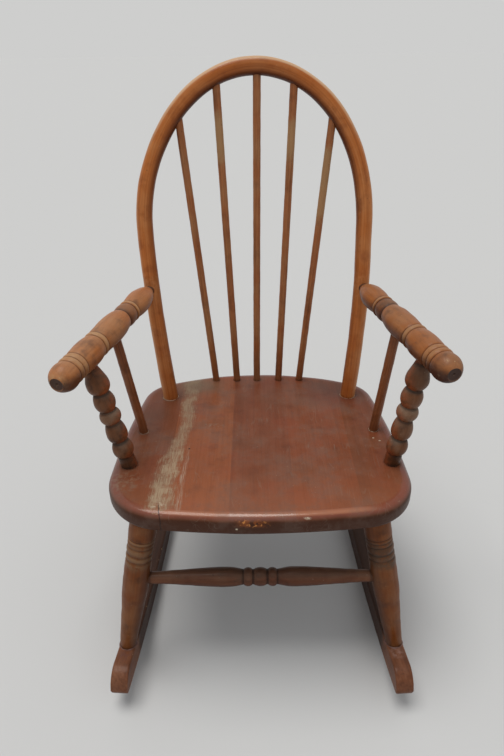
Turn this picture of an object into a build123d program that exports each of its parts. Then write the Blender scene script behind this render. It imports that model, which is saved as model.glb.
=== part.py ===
from build123d import *
import os
from itertools import pairwise
from math import radians, sin, cos, sqrt

# A child's hoop back rocking chair: a plank seat on four turned legs and two rockers, with a
# bent hoop, plain spindles and turned arms above it. Everything is wood, glued in round sockets.
#
# Millimetres and degrees. X runs across the chair, Y from its front to its back and Z up. The
# origin is on the floor, under the low point of both rockers. "left" is the side at -X.

# ---------------------------------------------------------------- seat
seat_height = 243            # top face at the middle of the seat
seat_forward = 10            # middle of the seat, ahead of the low point of the rockers
seat_tilt = 3.3              # the back is lower than the front
seat_thickness = 25
seat_front_reach = 156       # front edge, ahead of the middle of the seat
seat_back_reach = 161        # back edge, behind the middle of the seat
seat_front_half_width = 174.5  # at the front corners, before they are rounded
seat_back_half_width = 157.5
seat_front_bow = 17          # how far the front edge curves out past its corners
seat_back_bow = 39.5
seat_side_bow = 6
seat_front_corner = 64
seat_back_corner = 50
seat_top_round = 8
seat_bottom_round = 6
middle_board_width = 72
inner_board_width = 74
board_shift = 2.5            # the middle board lies this far to the right

# ---------------------------------------------------------------- hoop and back spindles
hoop_diameter = 20.6
hoop_set_back = 93           # feet of the hoop, behind the middle of the seat
hoop_lean = 9.3              # from square to the seat
hoop_foot_half_width = 127
hoop_half_width = 140.5      # at its widest
hoop_widest_rise = 236       # the widest place, up from the seat along the hoop
hoop_rise = 418.7            # the crown, up from the seat along the hoop
spindle_diameter = 9.6
spindle_set_back = 140
spindle_foot_spacing = 30.7
spindle_top_spacing = 46     # across, where the spindles meet the hoop

# ---------------------------------------------------------------- arms
arm_diameter = 32.6
arm_rise = 156.5             # where the arm meets the hoop, up from the seat along the hoop
arm_height = 146.5           # front end of the arm above the seat
arm_front_half_spread = 197
arm_front_reach = 116.5      # front end of the arm, ahead of the middle of the seat
post_diameter = 26.4
post_foot_half_spread = 157
post_foot_forward = 61
post_share = 0.755           # of the arm's length, from the hoop
side_spindle_diameter = 11.5
side_spindle_half_spread = 148.5
side_spindle_set_back = 7
side_spindle_share = 0.465

# ---------------------------------------------------------------- legs and stretchers
leg_diameter = 31
front_leg_half_spread = 130.1
front_leg_forward = 124.8
rear_leg_half_spread = 95.9
rear_leg_set_back = 76.9
front_foot_inset = 53        # from the front end of the rocker, along it
rear_foot_inset = 110
front_stretcher_height = 143.5
rear_stretcher_height = 128
front_stretcher_diameter = 22.6
rear_stretcher_diameter = 17

# ---------------------------------------------------------------- rockers
rocker_half_track = 153.7    # middle of the chair to the middle of a rocker, at its low point
rocker_toe = 3.4             # the rockers close in towards the back
rocker_length = 454
rocker_radius = 1000
rocker_depth = 29
rocker_width = 20.5
rocker_nose_round = 15
rocker_heel_round = 4

# ---------------------------------------------------------------- joints
glue_gap = 0.1               # all round a tenon, and under a shoulder
end_gap = 0.5                # past the end of a tenon
tenon_root = 5               # a tenon starts this far inside the piece that it is part of
seat_tenon_length = 14
leg_tenon_diameter = 20
foot_tenon_diameter = 12
foot_tenon_length = 18
post_tenon_diameter = 12
arm_insert = 12              # posts and side spindles, into the arm
arm_tip_insert = 5           # arm, into the hoop
spindle_insert = 9.5         # back spindles, into the hoop
stretcher_insert = 12
peg_diameter = 4
peg_depth = 10               # below the top of the rocker
screw_diameter = 3.4
screw_head_diameter = 6.6
screw_head_height = 2
screw_recess = 2.6
screw_slot_width = 0.9
screw_slot_depth = 0.9
screw_reach = 22             # past the front of the hoop, into the arm

# ---------------------------------------------------------------- turned outlines
# (share of the length, share of the largest diameter, kind). The outline is rounded over at
# a crest, comes to an edge at a corner, and is straight between two knots of one kind.
CORNER = "corner"
CREST = "crest"

arm_outline = (
    (0.050, 0.40, CORNER),
    (0.195, 0.91, CREST),    # bulb behind the first ring
    (0.283, 0.75, CORNER),
    (0.295, 0.85, CREST),
    (0.307, 0.75, CORNER),
    (0.347, 0.86, CREST),
    (0.388, 0.75, CORNER),
    (0.394, 0.81, CORNER),
    (0.500, 0.99, CREST),    # long barrel
    (0.628, 0.90, CORNER),
    (0.635, 0.84, CORNER),
    (0.651, 0.94, CREST),
    (0.667, 0.84, CORNER),
    (0.674, 0.90, CORNER),
    (0.745, 1.00, CREST),
    (0.825, 0.93, CORNER),
    (0.833, 0.86, CORNER),
    (0.850, 0.95, CREST),    # pair of rings behind the hand grip
    (0.867, 0.86, CORNER),
    (0.884, 0.95, CREST),
    (0.901, 0.86, CORNER),
    (0.908, 0.92, CORNER),
    (0.935, 0.96, CREST),
    (1.000, 0.39, CORNER),
)
post_outline = (
    (-0.05, 0.73, CORNER),
    (0.040, 0.745, CORNER),
    (0.095, 0.585, CORNER),
    (0.168, 0.935, CREST),
    (0.241, 0.59, CORNER),
    (0.315, 0.92, CREST),
    (0.412, 0.61, CORNER),
    (0.470, 0.93, CREST),
    (0.526, 0.625, CORNER),
    (0.606, 0.935, CREST),
    (0.680, 0.62, CORNER),
    (0.765, 1.00, CREST),    # pear under the arm
    (0.885, 0.475, CORNER),
    (1.000, 0.475, CORNER),
)
leg_outline = (
    (-0.08, 0.59, CORNER),
    (0.000, 0.625, CORNER),
    (0.365, 0.89, CORNER),
    (0.515, 1.00, CREST),
    (0.690, 0.99, CREST),
    (0.698, 0.93, CORNER),
    (0.715, 0.99, CREST),    # rings near the top of the leg
    (0.732, 0.93, CORNER),
    (0.740, 0.985, CORNER),
    (0.786, 0.985, CORNER),
    (0.794, 0.93, CORNER),
    (0.812, 0.99, CREST),
    (0.829, 0.94, CORNER),
    (0.841, 0.99, CREST),
    (0.853, 0.95, CORNER),
    (0.861, 1.00, CORNER),
    (1.080, 1.01, CORNER),
)
# from the middle to one end; the other half is its mirror image
front_stretcher_outline = (
    (0.000, 0.95, CREST),
    (0.060, 0.76, CORNER),
    (0.070, 0.76, CORNER),
    (0.110, 0.94, CREST),
    (0.150, 0.76, CORNER),
    (0.160, 0.78, CORNER),
    (0.315, 1.00, CREST),
    (0.560, 0.87, CORNER),
    (0.860, 0.66, CORNER),
    (1.000, 0.60, CORNER),
)
rear_stretcher_outline = (
    (0.000, 1.00, CREST),
    (0.860, 0.68, CORNER),
    (1.000, 0.65, CORNER),
)
spindle_outline = (
    (0.000, 0.98, CORNER),
    (0.350, 1.00, CREST),
    (1.000, 0.88, CORNER),
)
side_spindle_outline = (
    (0.000, 0.97, CORNER),
    (0.450, 1.00, CREST),
    (1.000, 0.95, CORNER),
)

# ---------------------------------------------------------------- planes and places
seat_plane = Plane(
    origin=(0, -seat_forward, seat_height),
    x_dir=(1, 0, 0),
    z_dir=(0, sin(radians(seat_tilt)), cos(radians(seat_tilt))),
)
underside_plane = seat_plane.offset(-seat_thickness)


def on_seat(x, y, z=0):
    """World place of a point given across, behind and above the middle of the seat."""
    return seat_plane.from_local_coords(Vector(x, y, z))


hoop_angle = radians(seat_tilt + hoop_lean)
hoop_plane = Plane(
    origin=on_seat(0, hoop_set_back),
    x_dir=(1, 0, 0),
    z_dir=(0, -cos(hoop_angle), sin(hoop_angle)),
)
hoop_taper = hoop_half_width - hoop_foot_half_width
hoop_side_radius = (hoop_widest_rise**2 + hoop_taper**2) / (2 * hoop_taper)
hoop_upper_rise = hoop_rise - hoop_widest_rise


def hoop_half_width_at(rise):
    """Middle of the chair to the middle of the hoop, below its widest place."""
    return hoop_half_width - hoop_side_radius + sqrt(
        hoop_side_radius**2 - (hoop_widest_rise - rise) ** 2
    )


def on_hoop(x, rise):
    """World place of a point in the plane of the hoop."""
    return hoop_plane.from_local_coords(Vector(x, rise, 0))


def over_spindle(x):
    """Middle of the hoop above a given place across the chair."""
    share = sqrt(1 - (x / hoop_half_width) ** 2)
    return on_hoop(x, hoop_widest_rise + hoop_upper_rise * share)


def rocker_plane(side):
    """Upright plane along the middle of a rocker; its X runs back and its Y runs up."""
    toe = radians(rocker_toe)
    return Plane(
        origin=(side * rocker_half_track, 0, 0),
        x_dir=(-side * sin(toe), cos(toe), 0),
        z_dir=(cos(toe), side * sin(toe), 0),
    )


def rocker_top_plane(side, along):
    """Plane that touches the top of a rocker at a distance along it."""
    top_radius = rocker_radius - rocker_depth
    drop = sqrt(top_radius**2 - along**2)
    plane = rocker_plane(side)
    centre = plane.from_local_coords(Vector(0, rocker_radius, 0))
    place = plane.from_local_coords(Vector(along, rocker_radius - drop, 0))
    return Plane(origin=place, z_dir=centre - place)


def between(start, end, share):
    """Point at a share of the way from start to end."""
    return start + (end - start) * share


def arm_start(side):
    return on_hoop(side * hoop_half_width_at(arm_rise), arm_rise)


def arm_end(side):
    return on_seat(side * arm_front_half_spread, -arm_front_reach, arm_height)


# each leg is (front or rear, half spread and set back of its top, foot along the rocker)
leg_tops = {
    "front": (front_leg_half_spread, -front_leg_forward),
    "rear": (rear_leg_half_spread, rear_leg_set_back),
}
leg_feet = {
    "front": front_foot_inset - rocker_length / 2,
    "rear": rocker_length / 2 - rear_foot_inset,
}
stretcher_heights = {"front": front_stretcher_height, "rear": rear_stretcher_height}
sides = {"left": -1, "right": 1}


def leg_top(end, side):
    """Middle of the top of a leg, on the underside of the seat."""
    half_spread, set_back = leg_tops[end]
    return on_seat(side * half_spread, set_back, -seat_thickness)


def leg_foot(end, side):
    """Middle of the foot of a leg, on top of the rocker."""
    return rocker_top_plane(side, leg_feet[end]).origin


def leg_at_stretcher(end, side):
    """Middle of a leg at the height of its stretcher."""
    top = leg_top(end, side)
    foot = leg_foot(end, side)
    return between(foot, top, (stretcher_heights[end] - foot.Z) / (top.Z - foot.Z))


# ---------------------------------------------------------------- shared shapes
def lathe_plane(start, end):
    """Plane through the axis of a turned piece, with its Y direction from start to end."""
    axis = (end - start).normalized()
    beside = Vector(0, 0, 1) if abs(axis.X) > abs(axis.Z) + abs(axis.Y) else Vector(1, 0, 0)
    across = (beside - axis * beside.dot(axis)).normalized()
    return Plane(origin=start, x_dir=across, z_dir=across.cross(axis))


def turn(outline, start, end, diameter):
    """Turned solid from start to end, added to the part that is being built."""
    length = (end - start).length
    knots = [(wide * diameter / 2, far * length, kind) for far, wide, kind in outline]
    first, last = knots[0], knots[-1]
    with BuildSketch(lathe_plane(start, end)) as half:
        with BuildLine():
            for (r0, h0, kind0), (r1, h1, kind1) in pairwise(knots):
                if kind0 == kind1:
                    Line((r0, h0), (r1, h1))
                elif kind0 == CREST:
                    TangentArc((r0, h0), (r1, h1), tangent=(0, 1))
                else:
                    TangentArc((r1, h1), (r0, h0), tangent=(0, -1))
            Polyline(last[:2], (0, last[1]), (0, first[1]), first[:2])
        make_face()
    revolve(half.sketch, axis=Axis(start, end - start))


def both_ways(outline):
    """Whole outline of a piece whose halves mirror each other about its middle."""
    far_half = [((1 + far) / 2, wide, kind) for far, wide, kind in outline]
    near_half = [((1 - far) / 2, wide, kind) for far, wide, kind in outline[:0:-1]]
    return near_half + far_half


def rod(place, axis, diameter, length, mode=Mode.ADD):
    """Plain round bar that starts at the place and runs along the axis."""
    with Locations(Plane(origin=place, z_dir=axis)):
        Cylinder(
            diameter / 2, length, align=(Align.CENTER, Align.CENTER, Align.MIN), mode=mode
        )


def tenon(place, axis, diameter, length):
    """Round tenon that leaves its piece at the place."""
    rod(place - axis * tenon_root, axis, diameter, tenon_root + length)


def socket(place, out, diameter, depth):
    """Round hole for a tenon; out points from the bottom of the hole to its mouth."""
    with Locations(Plane(origin=place, z_dir=out)):
        Hole(diameter / 2 + glue_gap, depth + end_gap)


# ---------------------------------------------------------------- axes of what is let in
spindle_count = 5
spindle_axes = []
for number in range(spindle_count):
    step = number - (spindle_count - 1) / 2
    foot = on_seat(step * spindle_foot_spacing, spindle_set_back)
    spindle_axes.append((foot, over_spindle(step * spindle_top_spacing)))


def post_axis(side):
    foot = on_seat(side * post_foot_half_spread, -post_foot_forward)
    return foot, between(arm_start(side), arm_end(side), post_share)


def side_spindle_axis(side):
    foot = on_seat(side * side_spindle_half_spread, side_spindle_set_back)
    return foot, between(arm_start(side), arm_end(side), side_spindle_share)


def direction(start, end):
    return (end - start).normalized()


# ---------------------------------------------------------------- seat
def build_seat_blank():
    """Whole seat with its sockets, before it is parted into boards."""
    front_y = -seat_front_reach + seat_front_bow
    back_y = seat_back_reach - seat_back_bow
    side_x = (seat_front_half_width + seat_back_half_width) / 2 + seat_side_bow
    side_y = (front_y + back_y) / 2
    with BuildPart() as blank:
        with BuildSketch(seat_plane) as outline:
            with BuildLine():
                for way in (-1, 1):
                    ThreePointArc(
                        (way * seat_front_half_width, front_y),
                        (way * side_x, side_y),
                        (way * seat_back_half_width, back_y),
                    )
                ThreePointArc(
                    (-seat_front_half_width, front_y),
                    (0, -seat_front_reach),
                    (seat_front_half_width, front_y),
                )
                ThreePointArc(
                    (-seat_back_half_width, back_y),
                    (0, seat_back_reach),
                    (seat_back_half_width, back_y),
                )
            make_face()
            fillet(outline.vertices().group_by(Axis.Y)[0], seat_front_corner)
            fillet(outline.vertices().group_by(Axis.Y)[-1], seat_back_corner)
        extrude(amount=-seat_thickness)
        top_face = blank.faces().sort_by(Axis.Z)[-1]
        fillet(top_face.edges(), seat_top_round)
        bottom_face = blank.faces().sort_by(Axis.Z)[0]
        fillet(bottom_face.edges(), seat_bottom_round)
        for side in sides.values():
            hoop_foot = on_hoop(side * hoop_half_width_at(0), 0)
            hoop_end = on_hoop(
                side * hoop_half_width_at(-seat_tenon_length), -seat_tenon_length
            )
            socket(hoop_foot, direction(hoop_end, hoop_foot), hoop_diameter, seat_tenon_length)
            foot, top = post_axis(side)
            socket(foot, direction(foot, top), post_tenon_diameter, seat_tenon_length)
            foot, top = side_spindle_axis(side)
            socket(foot, direction(foot, top), side_spindle_diameter, seat_tenon_length)
            for end in leg_tops:
                top = leg_top(end, side)
                out = direction(top, leg_foot(end, side))
                socket(top, out, leg_tenon_diameter, seat_tenon_length)
        for foot, top in spindle_axes:
            socket(foot, direction(foot, top), spindle_diameter, seat_tenon_length)
    return blank.part


def build_seat_board(blank, low, high):
    """The part of the seat between two glue lines; None stands for the seat's own edge."""
    with BuildPart() as board:
        add(blank)
        if low is not None:
            split(bisect_by=Plane.YZ.offset(low), keep=Keep.TOP)
        if high is not None:
            split(bisect_by=Plane.YZ.offset(high), keep=Keep.BOTTOM)
    return board.part


# ---------------------------------------------------------------- back
def build_hoop():
    """Half an ellipse on two slightly bowed sides, let into the seat at both feet."""
    low = -seat_tenon_length
    middle = (low + hoop_widest_rise) / 2
    side_knots = (
        (hoop_half_width_at(low), low),
        (hoop_half_width_at(middle), middle),
        (hoop_half_width, hoop_widest_rise),
    )
    with BuildPart() as hoop:
        with BuildLine(hoop_plane) as path:
            ThreePointArc(*side_knots)
            EllipticalCenterArc((0, hoop_widest_rise), hoop_half_width, hoop_upper_rise, arc_size=180)
            ThreePointArc(*[(-x, rise) for x, rise in reversed(side_knots)])
        with BuildSketch(Plane(origin=path.line @ 0, z_dir=path.line % 0)):
            Circle(hoop_diameter / 2)
        sweep(path=path.line)
        for foot, top in spindle_axes:
            out = direction(top, foot)
            socket(top + out * hoop_diameter / 2, out, spindle_diameter, spindle_insert)
        for side in sides.values():
            middle = arm_start(side)
            out = direction(middle, arm_end(side))
            socket(
                middle + out * hoop_diameter / 2, out, arm_tip_diameter(), arm_tip_insert
            )
            with Locations(Plane(origin=middle, z_dir=out)):
                Hole(screw_diameter / 2 + glue_gap)
            recess_floor = middle - out * (hoop_diameter / 2 - screw_recess)
            recess_diameter = screw_head_diameter + 2 * glue_gap
            rod(recess_floor, -out, recess_diameter, hoop_diameter, mode=Mode.SUBTRACT)
    return hoop.part


def build_spindle(foot, top):
    axis = direction(foot, top)
    low_end = foot - axis * seat_tenon_length
    high_end = top - axis * (hoop_diameter / 2 - spindle_insert)
    with BuildPart() as spindle:
        turn(spindle_outline, low_end, high_end, spindle_diameter)
    return spindle.part


# ---------------------------------------------------------------- arms
def arm_tip_diameter():
    return arm_outline[0][1] * arm_diameter


def build_arm(side):
    start = arm_start(side)
    end = arm_end(side)
    out = direction(start, end)
    tip = start + out * (hoop_diameter / 2 - arm_tip_insert)
    with BuildPart() as arm:
        turn(arm_outline, start, end, arm_diameter)
        tenon(start + out * hoop_diameter / 2, -out, arm_tip_diameter(), arm_tip_insert)
        let_in = (
            (post_axis(side), post_neck_diameter()),
            (side_spindle_axis(side), side_spindle_diameter),
        )
        for (foot, top), diameter in let_in:
            down = direction(top, foot)
            socket(top + down * arm_diameter / 2, down, diameter, arm_insert)
        with Locations(Plane(origin=tip, z_dir=-out)):
            Hole(screw_diameter / 2 + glue_gap, screw_reach + arm_tip_insert + end_gap)
    return arm.part


def post_neck_diameter():
    return post_outline[-1][1] * post_diameter


def build_arm_post(side):
    foot, top = post_axis(side)
    axis = direction(foot, top)
    with BuildPart() as post:
        turn(post_outline, foot, top, post_diameter)
        split(bisect_by=seat_plane.offset(glue_gap), keep=Keep.TOP)
        high_end = top - axis * (arm_diameter / 2 - arm_insert)
        split(bisect_by=Plane(origin=high_end, z_dir=axis), keep=Keep.BOTTOM)
        tenon(foot, -axis, post_tenon_diameter, seat_tenon_length)
    return post.part


def build_side_spindle(side):
    foot, top = side_spindle_axis(side)
    axis = direction(foot, top)
    low_end = foot - axis * seat_tenon_length
    high_end = top - axis * (arm_diameter / 2 - arm_insert)
    with BuildPart() as spindle:
        turn(side_spindle_outline, low_end, high_end, side_spindle_diameter)
    return spindle.part


def build_arm_screws():
    """A slotted screw on each side, through the hoop into the end of the arm."""
    with BuildPart() as screws:
        for side in sides.values():
            middle = arm_start(side)
            out = direction(middle, arm_end(side))
            seat = middle - out * (hoop_diameter / 2 - screw_recess)
            rod(seat, -out, screw_head_diameter, screw_head_height)
            rod(seat, out, screw_diameter, hoop_diameter - screw_recess + screw_reach)
            with Locations(Plane(origin=seat - out * screw_head_height, z_dir=-out)):
                Box(
                    screw_slot_width,
                    2 * screw_head_diameter,
                    2 * screw_slot_depth,
                    mode=Mode.SUBTRACT,
                )
    return screws.part


# ---------------------------------------------------------------- legs and stretchers
def peg_place(end, side):
    """Middle of the peg that crosses the tenon at the foot of a leg."""
    foot = leg_foot(end, side)
    return foot - direction(foot, leg_top(end, side)) * peg_depth


def build_leg(end, side):
    top = leg_top(end, side)
    foot = leg_foot(end, side)
    axis = direction(foot, top)
    joint = leg_at_stretcher(end, side)
    with BuildPart() as leg:
        turn(leg_outline, foot, top, leg_diameter)
        split(bisect_by=underside_plane.offset(-glue_gap), keep=Keep.BOTTOM)
        rest = rocker_top_plane(side, leg_feet[end]).offset(glue_gap)
        split(bisect_by=rest, keep=Keep.TOP)
        tenon(top, axis, leg_tenon_diameter, seat_tenon_length)
        tenon(foot, -axis, foot_tenon_diameter, foot_tenon_length)
        inward = Vector(-side, 0, 0)
        socket(
            joint + inward * leg_diameter / 2,
            inward,
            stretcher_end_diameter(end),
            stretcher_insert,
        )
        with Locations(Plane(origin=peg_place(end, side), z_dir=rocker_plane(side).z_dir)):
            Hole(peg_diameter / 2 + glue_gap, rocker_width)
    return leg.part


stretcher_outlines = {"front": front_stretcher_outline, "rear": rear_stretcher_outline}
stretcher_diameters = {"front": front_stretcher_diameter, "rear": rear_stretcher_diameter}


def stretcher_end_diameter(end):
    return stretcher_outlines[end][-1][1] * stretcher_diameters[end]


def build_stretcher(end):
    inset = Vector(leg_diameter / 2, 0, 0)
    left_end = leg_at_stretcher(end, -1) + inset
    right_end = leg_at_stretcher(end, 1) - inset
    axis = direction(left_end, right_end)
    with BuildPart() as stretcher:
        turn(both_ways(stretcher_outlines[end]), left_end, right_end, stretcher_diameters[end])
        tenon(left_end, -axis, stretcher_end_diameter(end), stretcher_insert)
        tenon(right_end, axis, stretcher_end_diameter(end), stretcher_insert)
    return stretcher.part


# ---------------------------------------------------------------- rockers
def build_rocker(side):
    """Sawn curve of even depth with a rounded nose at both ends."""
    reach = rocker_length / 2 / cos(radians(rocker_toe))
    slope = reach / rocker_radius
    centre = Vector(0, rocker_radius)
    end_ray = Vector(slope, -sqrt(1 - slope**2))
    low = centre + end_ray * rocker_radius
    high = centre + end_ray * (rocker_radius - rocker_depth)
    with BuildPart() as rocker:
        with BuildSketch(rocker_plane(side)) as outline:
            with BuildLine():
                ThreePointArc((-low.X, low.Y), (0, 0), (low.X, low.Y))
                Line((low.X, low.Y), (high.X, high.Y))
                ThreePointArc((high.X, high.Y), (0, rocker_depth), (-high.X, high.Y))
                Line((-high.X, high.Y), (-low.X, low.Y))
            make_face()
            fillet(outline.vertices().group_by(Axis.Y)[-1], rocker_nose_round)
            fillet(outline.vertices().group_by(Axis.Y)[0], rocker_heel_round)
        extrude(amount=rocker_width / 2, both=True)
        for end in leg_tops:
            foot = leg_foot(end, side)
            out = direction(foot, leg_top(end, side))
            socket(foot, out, foot_tenon_diameter, foot_tenon_length)
            with Locations(Plane(origin=peg_place(end, side), z_dir=rocker_plane(side).z_dir)):
                Hole(peg_diameter / 2 + glue_gap, rocker_width)
    return rocker.part


def build_rocker_pegs():
    """A peg through each rocker and the tenon that it holds."""
    with BuildPart() as pegs:
        for side in sides.values():
            for end in leg_tops:
                plane = rocker_plane(side)
                across = plane.to_local_coords(peg_place(end, side)).Z
                middle = peg_place(end, side) - plane.z_dir * across
                with Locations(Plane(origin=middle, z_dir=plane.z_dir)):
                    Cylinder(peg_diameter / 2, rocker_width)
    return pegs.part


# ---------------------------------------------------------------- the chair
pieces = {}

seat_blank = build_seat_blank()
inner_left = board_shift - middle_board_width / 2
inner_right = board_shift + middle_board_width / 2
glue_lines = (
    None,
    inner_left - inner_board_width,
    inner_left,
    inner_right,
    inner_right + inner_board_width,
    None,
)
for number, (low, high) in enumerate(pairwise(glue_lines), start=1):
    pieces[f"seat_board_{number}"] = build_seat_board(seat_blank, low, high)

pieces["hoop"] = build_hoop()
for number, (foot, top) in enumerate(spindle_axes, start=1):
    pieces[f"back_spindle_{number}"] = build_spindle(foot, top)

for side_name, side in sides.items():
    pieces[f"arm_{side_name}"] = build_arm(side)
    pieces[f"arm_post_{side_name}"] = build_arm_post(side)
    pieces[f"side_spindle_{side_name}"] = build_side_spindle(side)
    for end in leg_tops:
        pieces[f"{end}_leg_{side_name}"] = build_leg(end, side)
    pieces[f"rocker_{side_name}"] = build_rocker(side)

for end in leg_tops:
    pieces[f"{end}_stretcher"] = build_stretcher(end)
pieces["arm_screws"] = build_arm_screws()
pieces["rocker_pegs"] = build_rocker_pegs()

os.makedirs("parts", exist_ok=True)
for name, piece in pieces.items():
    piece.label = name
    export_step(piece, f"parts/{name}.step")
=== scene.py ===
from itertools import pairwise
from math import asin, cos, exp, inf, pi, radians, sin, sqrt, tau

import bpy
import bmesh
import numpy as np
from mathutils import Matrix, Vector, noise


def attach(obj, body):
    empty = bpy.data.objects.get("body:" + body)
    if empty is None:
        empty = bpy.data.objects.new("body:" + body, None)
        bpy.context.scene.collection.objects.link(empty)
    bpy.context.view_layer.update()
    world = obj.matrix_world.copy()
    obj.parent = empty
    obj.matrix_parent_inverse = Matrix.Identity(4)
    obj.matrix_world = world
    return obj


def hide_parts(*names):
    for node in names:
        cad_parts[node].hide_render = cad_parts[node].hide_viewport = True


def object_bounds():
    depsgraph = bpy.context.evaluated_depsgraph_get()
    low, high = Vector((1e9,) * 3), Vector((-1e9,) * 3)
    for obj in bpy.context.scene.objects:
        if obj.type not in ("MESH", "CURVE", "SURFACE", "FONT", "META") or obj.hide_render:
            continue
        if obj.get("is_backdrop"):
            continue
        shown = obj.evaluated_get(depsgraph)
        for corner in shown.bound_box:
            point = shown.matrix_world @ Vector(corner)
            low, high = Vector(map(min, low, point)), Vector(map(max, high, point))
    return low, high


# A child's hoop back rocking chair: its turned, bent and sawn pieces with their stain, varnish,
# wear and grime. Sizes below are in millimetres and in the frame of the CAD model: X across,
# Y from front to back, Z up, with the origin on the floor. Meshes are in metres.

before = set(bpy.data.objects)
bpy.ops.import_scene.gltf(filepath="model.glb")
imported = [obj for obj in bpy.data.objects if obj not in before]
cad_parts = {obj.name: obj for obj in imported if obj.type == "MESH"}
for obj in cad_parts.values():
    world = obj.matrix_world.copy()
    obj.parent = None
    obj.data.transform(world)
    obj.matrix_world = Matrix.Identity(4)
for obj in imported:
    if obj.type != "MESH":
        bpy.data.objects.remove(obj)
cad_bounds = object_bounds()

MM = 0.001

# ---- the chair's own sizes
SEAT_HEIGHT = 243
SEAT_FORWARD = 10
SEAT_TILT = radians(3.3)
SEAT_THICKNESS = 25
SEAT_FRONT_REACH = 156
SEAT_BACK_REACH = 161
SEAT_FRONT_HALF_WIDTH = 174.5
SEAT_BACK_HALF_WIDTH = 157.5
SEAT_FRONT_BOW = 17
SEAT_BACK_BOW = 39.5
SEAT_SIDE_BOW = 7.5
SEAT_FRONT_CORNERS = {-1: 72, 1: 65}
SEAT_BACK_CORNER = 50
SEAT_TOP_ROUND = 10
SEAT_BOTTOM_ROUND = 6
GLUE_LINES = (-107.5, -33.5, 38.5, 112.5)
# where each board lay in its own plank: across from the pith, above it and along it
PLANKS = ((-40, 20, 0), (66, -22, 310), (62, 15, 720), (78, -5, 1130), (-118, 10, 1560))

HOOP_DIAMETER = 20.6
HOOP_SET_BACK = 93
HOOP_LEAN = radians(3.3 + 9.3)
HOOP_FOOT_HALF_WIDTH = 127
HOOP_HALF_WIDTH = 140.5
HOOP_WIDEST_RISE = 236
HOOP_RISE = 418.7
HOOP_CROWN_SHARE = 0.88      # of its diameter, where the bend has drawn it thinner
SPINDLE_DIAMETER = 9.6
SPINDLE_SET_BACK = 140
SPINDLE_FEET = (-61.4, -30.7, -1.2, 30.7, 61.4)
SPINDLE_TOPS = (-94.0, -46.8, 2.2, 46.7, 94.4)

ARM_DIAMETER = 32.6
ARM_RISE = 156.5
ARM_FRONTS = {-1: (202.0, 115.0, 142.0), 1: (192.5, 118.0, 150.5)}   # the left arm has sunk
POST_DIAMETER = 26.4
POST_FEET = {-1: (155.0, -61), 1: (158.5, -61)}
POST_SHARES = {-1: 0.748, 1: 0.762}
POST_FOOT_RADIUS = POST_DIAMETER * 0.37
SIDE_SPINDLE_DIAMETER = 11.5
SIDE_SPINDLE_FOOT = (148.5, 7)
SIDE_SPINDLE_SHARES = {-1: 0.485, 1: 0.476}
SIDE_SPINDLE_SUNK = 4       # into the seat
SIDE_SPINDLE_SHORT = 6      # of the middle of the arm

LEG_DIAMETER = 31
LEG_TOPS = {"front": (130.1, -124.8), "rear": (95.9, 76.9)}
LEG_FEET = {"front": -174, "rear": 117}
STRETCHER_HEIGHTS = {"front": 143.5, "rear": 128}
STRETCHER_DIAMETERS = {"front": 22.6, "rear": 17}

ROCKER_HALF_TRACK = 153.7
ROCKER_TOE = radians(3.4)
ROCKER_LENGTH = 454
ROCKER_RADIUS = 1000
ROCKER_DEPTH = 29
ROCKER_WIDTH = 20.5
ROCKER_NOSE_ROUND = 21
ROCKER_FRONT_EXTRA = {-1: 0.0, 1: 3.5}     # the right one reaches further forward
ROCKER_HEEL_ROUND = 4
ROCKER_EDGE_ROUND = 2.2

SIDES = {"left": -1, "right": 1}

# ---- turned outlines
# (share of the length, share of the largest diameter). The outline is rounded over at a crest,
# comes to an edge at every other knot, and is straight between two knots of one kind.
CREST = "crest"

ARM_OUTLINE = (
    (0, 0.37), (0.05, 0.4), (0.195, 0.91, CREST),    # bulb behind the first ring
    (0.283, 0.75), (0.295, 0.85, CREST), (0.307, 0.75), (0.347, 0.86, CREST), (0.388, 0.75),
    (0.394, 0.81), (0.5, 0.99, CREST),    # long barrel
    (0.628, 0.9), (0.635, 0.84), (0.651, 0.94, CREST), (0.667, 0.84), (0.674, 0.9),
    (0.745, 1, CREST), (0.825, 0.93), (0.833, 0.86),
    (0.85, 0.95, CREST),    # pair of rings behind the hand grip
    (0.867, 0.86), (0.884, 0.95, CREST), (0.901, 0.86), (0.908, 0.92), (0.935, 0.96, CREST),
    (1, 0.46), (0.997, 0.41),    # end grain, with the mark of the lathe's centre
    (0.996, 0.1), (0.99, 0.04),
)
POST_OUTLINE = (
    (-0.03, 0.72), (0.06, 0.72), (0.098, 0.68), (0.158, 0.935, CREST), (0.241, 0.63),
    (0.302, 0.93, CREST), (0.412, 0.63), (0.47, 0.94, CREST), (0.526, 0.65), (0.6, 0.935, CREST),
    (0.68, 0.65), (0.748, 1, CREST),    # pear under the arm
    (0.79, 0.945), (0.89, 0.56), (0.96, 0.5),
)
LEG_OUTLINE = (
    (-0.03, 0.61), (0, 0.625), (0.365, 0.89), (0.515, 1, CREST), (0.69, 0.99, CREST),
    (0.705, 0.94), (0.713, 0.94), (0.732, 0.99, CREST),    # rings near the top of the leg
    (0.75, 0.93), (0.759, 0.94), (0.784, 1, CREST), (0.808, 0.93), (0.824, 0.985, CREST),
    (0.838, 0.94), (0.85, 0.985, CREST), (0.862, 0.94), (0.87, 1), (1.06, 1.01),
)
# from the middle to one end; the other half is its mirror image
FRONT_STRETCHER_OUTLINE = (
    (0, 0.95, CREST), (0.06, 0.76), (0.07, 0.76), (0.11, 0.94, CREST), (0.15, 0.76), (0.16, 0.78),
    (0.315, 1, CREST), (0.56, 0.87), (0.86, 0.66), (1.06, 0.58),
)
REAR_STRETCHER_OUTLINE = ((0, 1, CREST), (0.86, 0.68), (1.06, 0.64))
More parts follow.
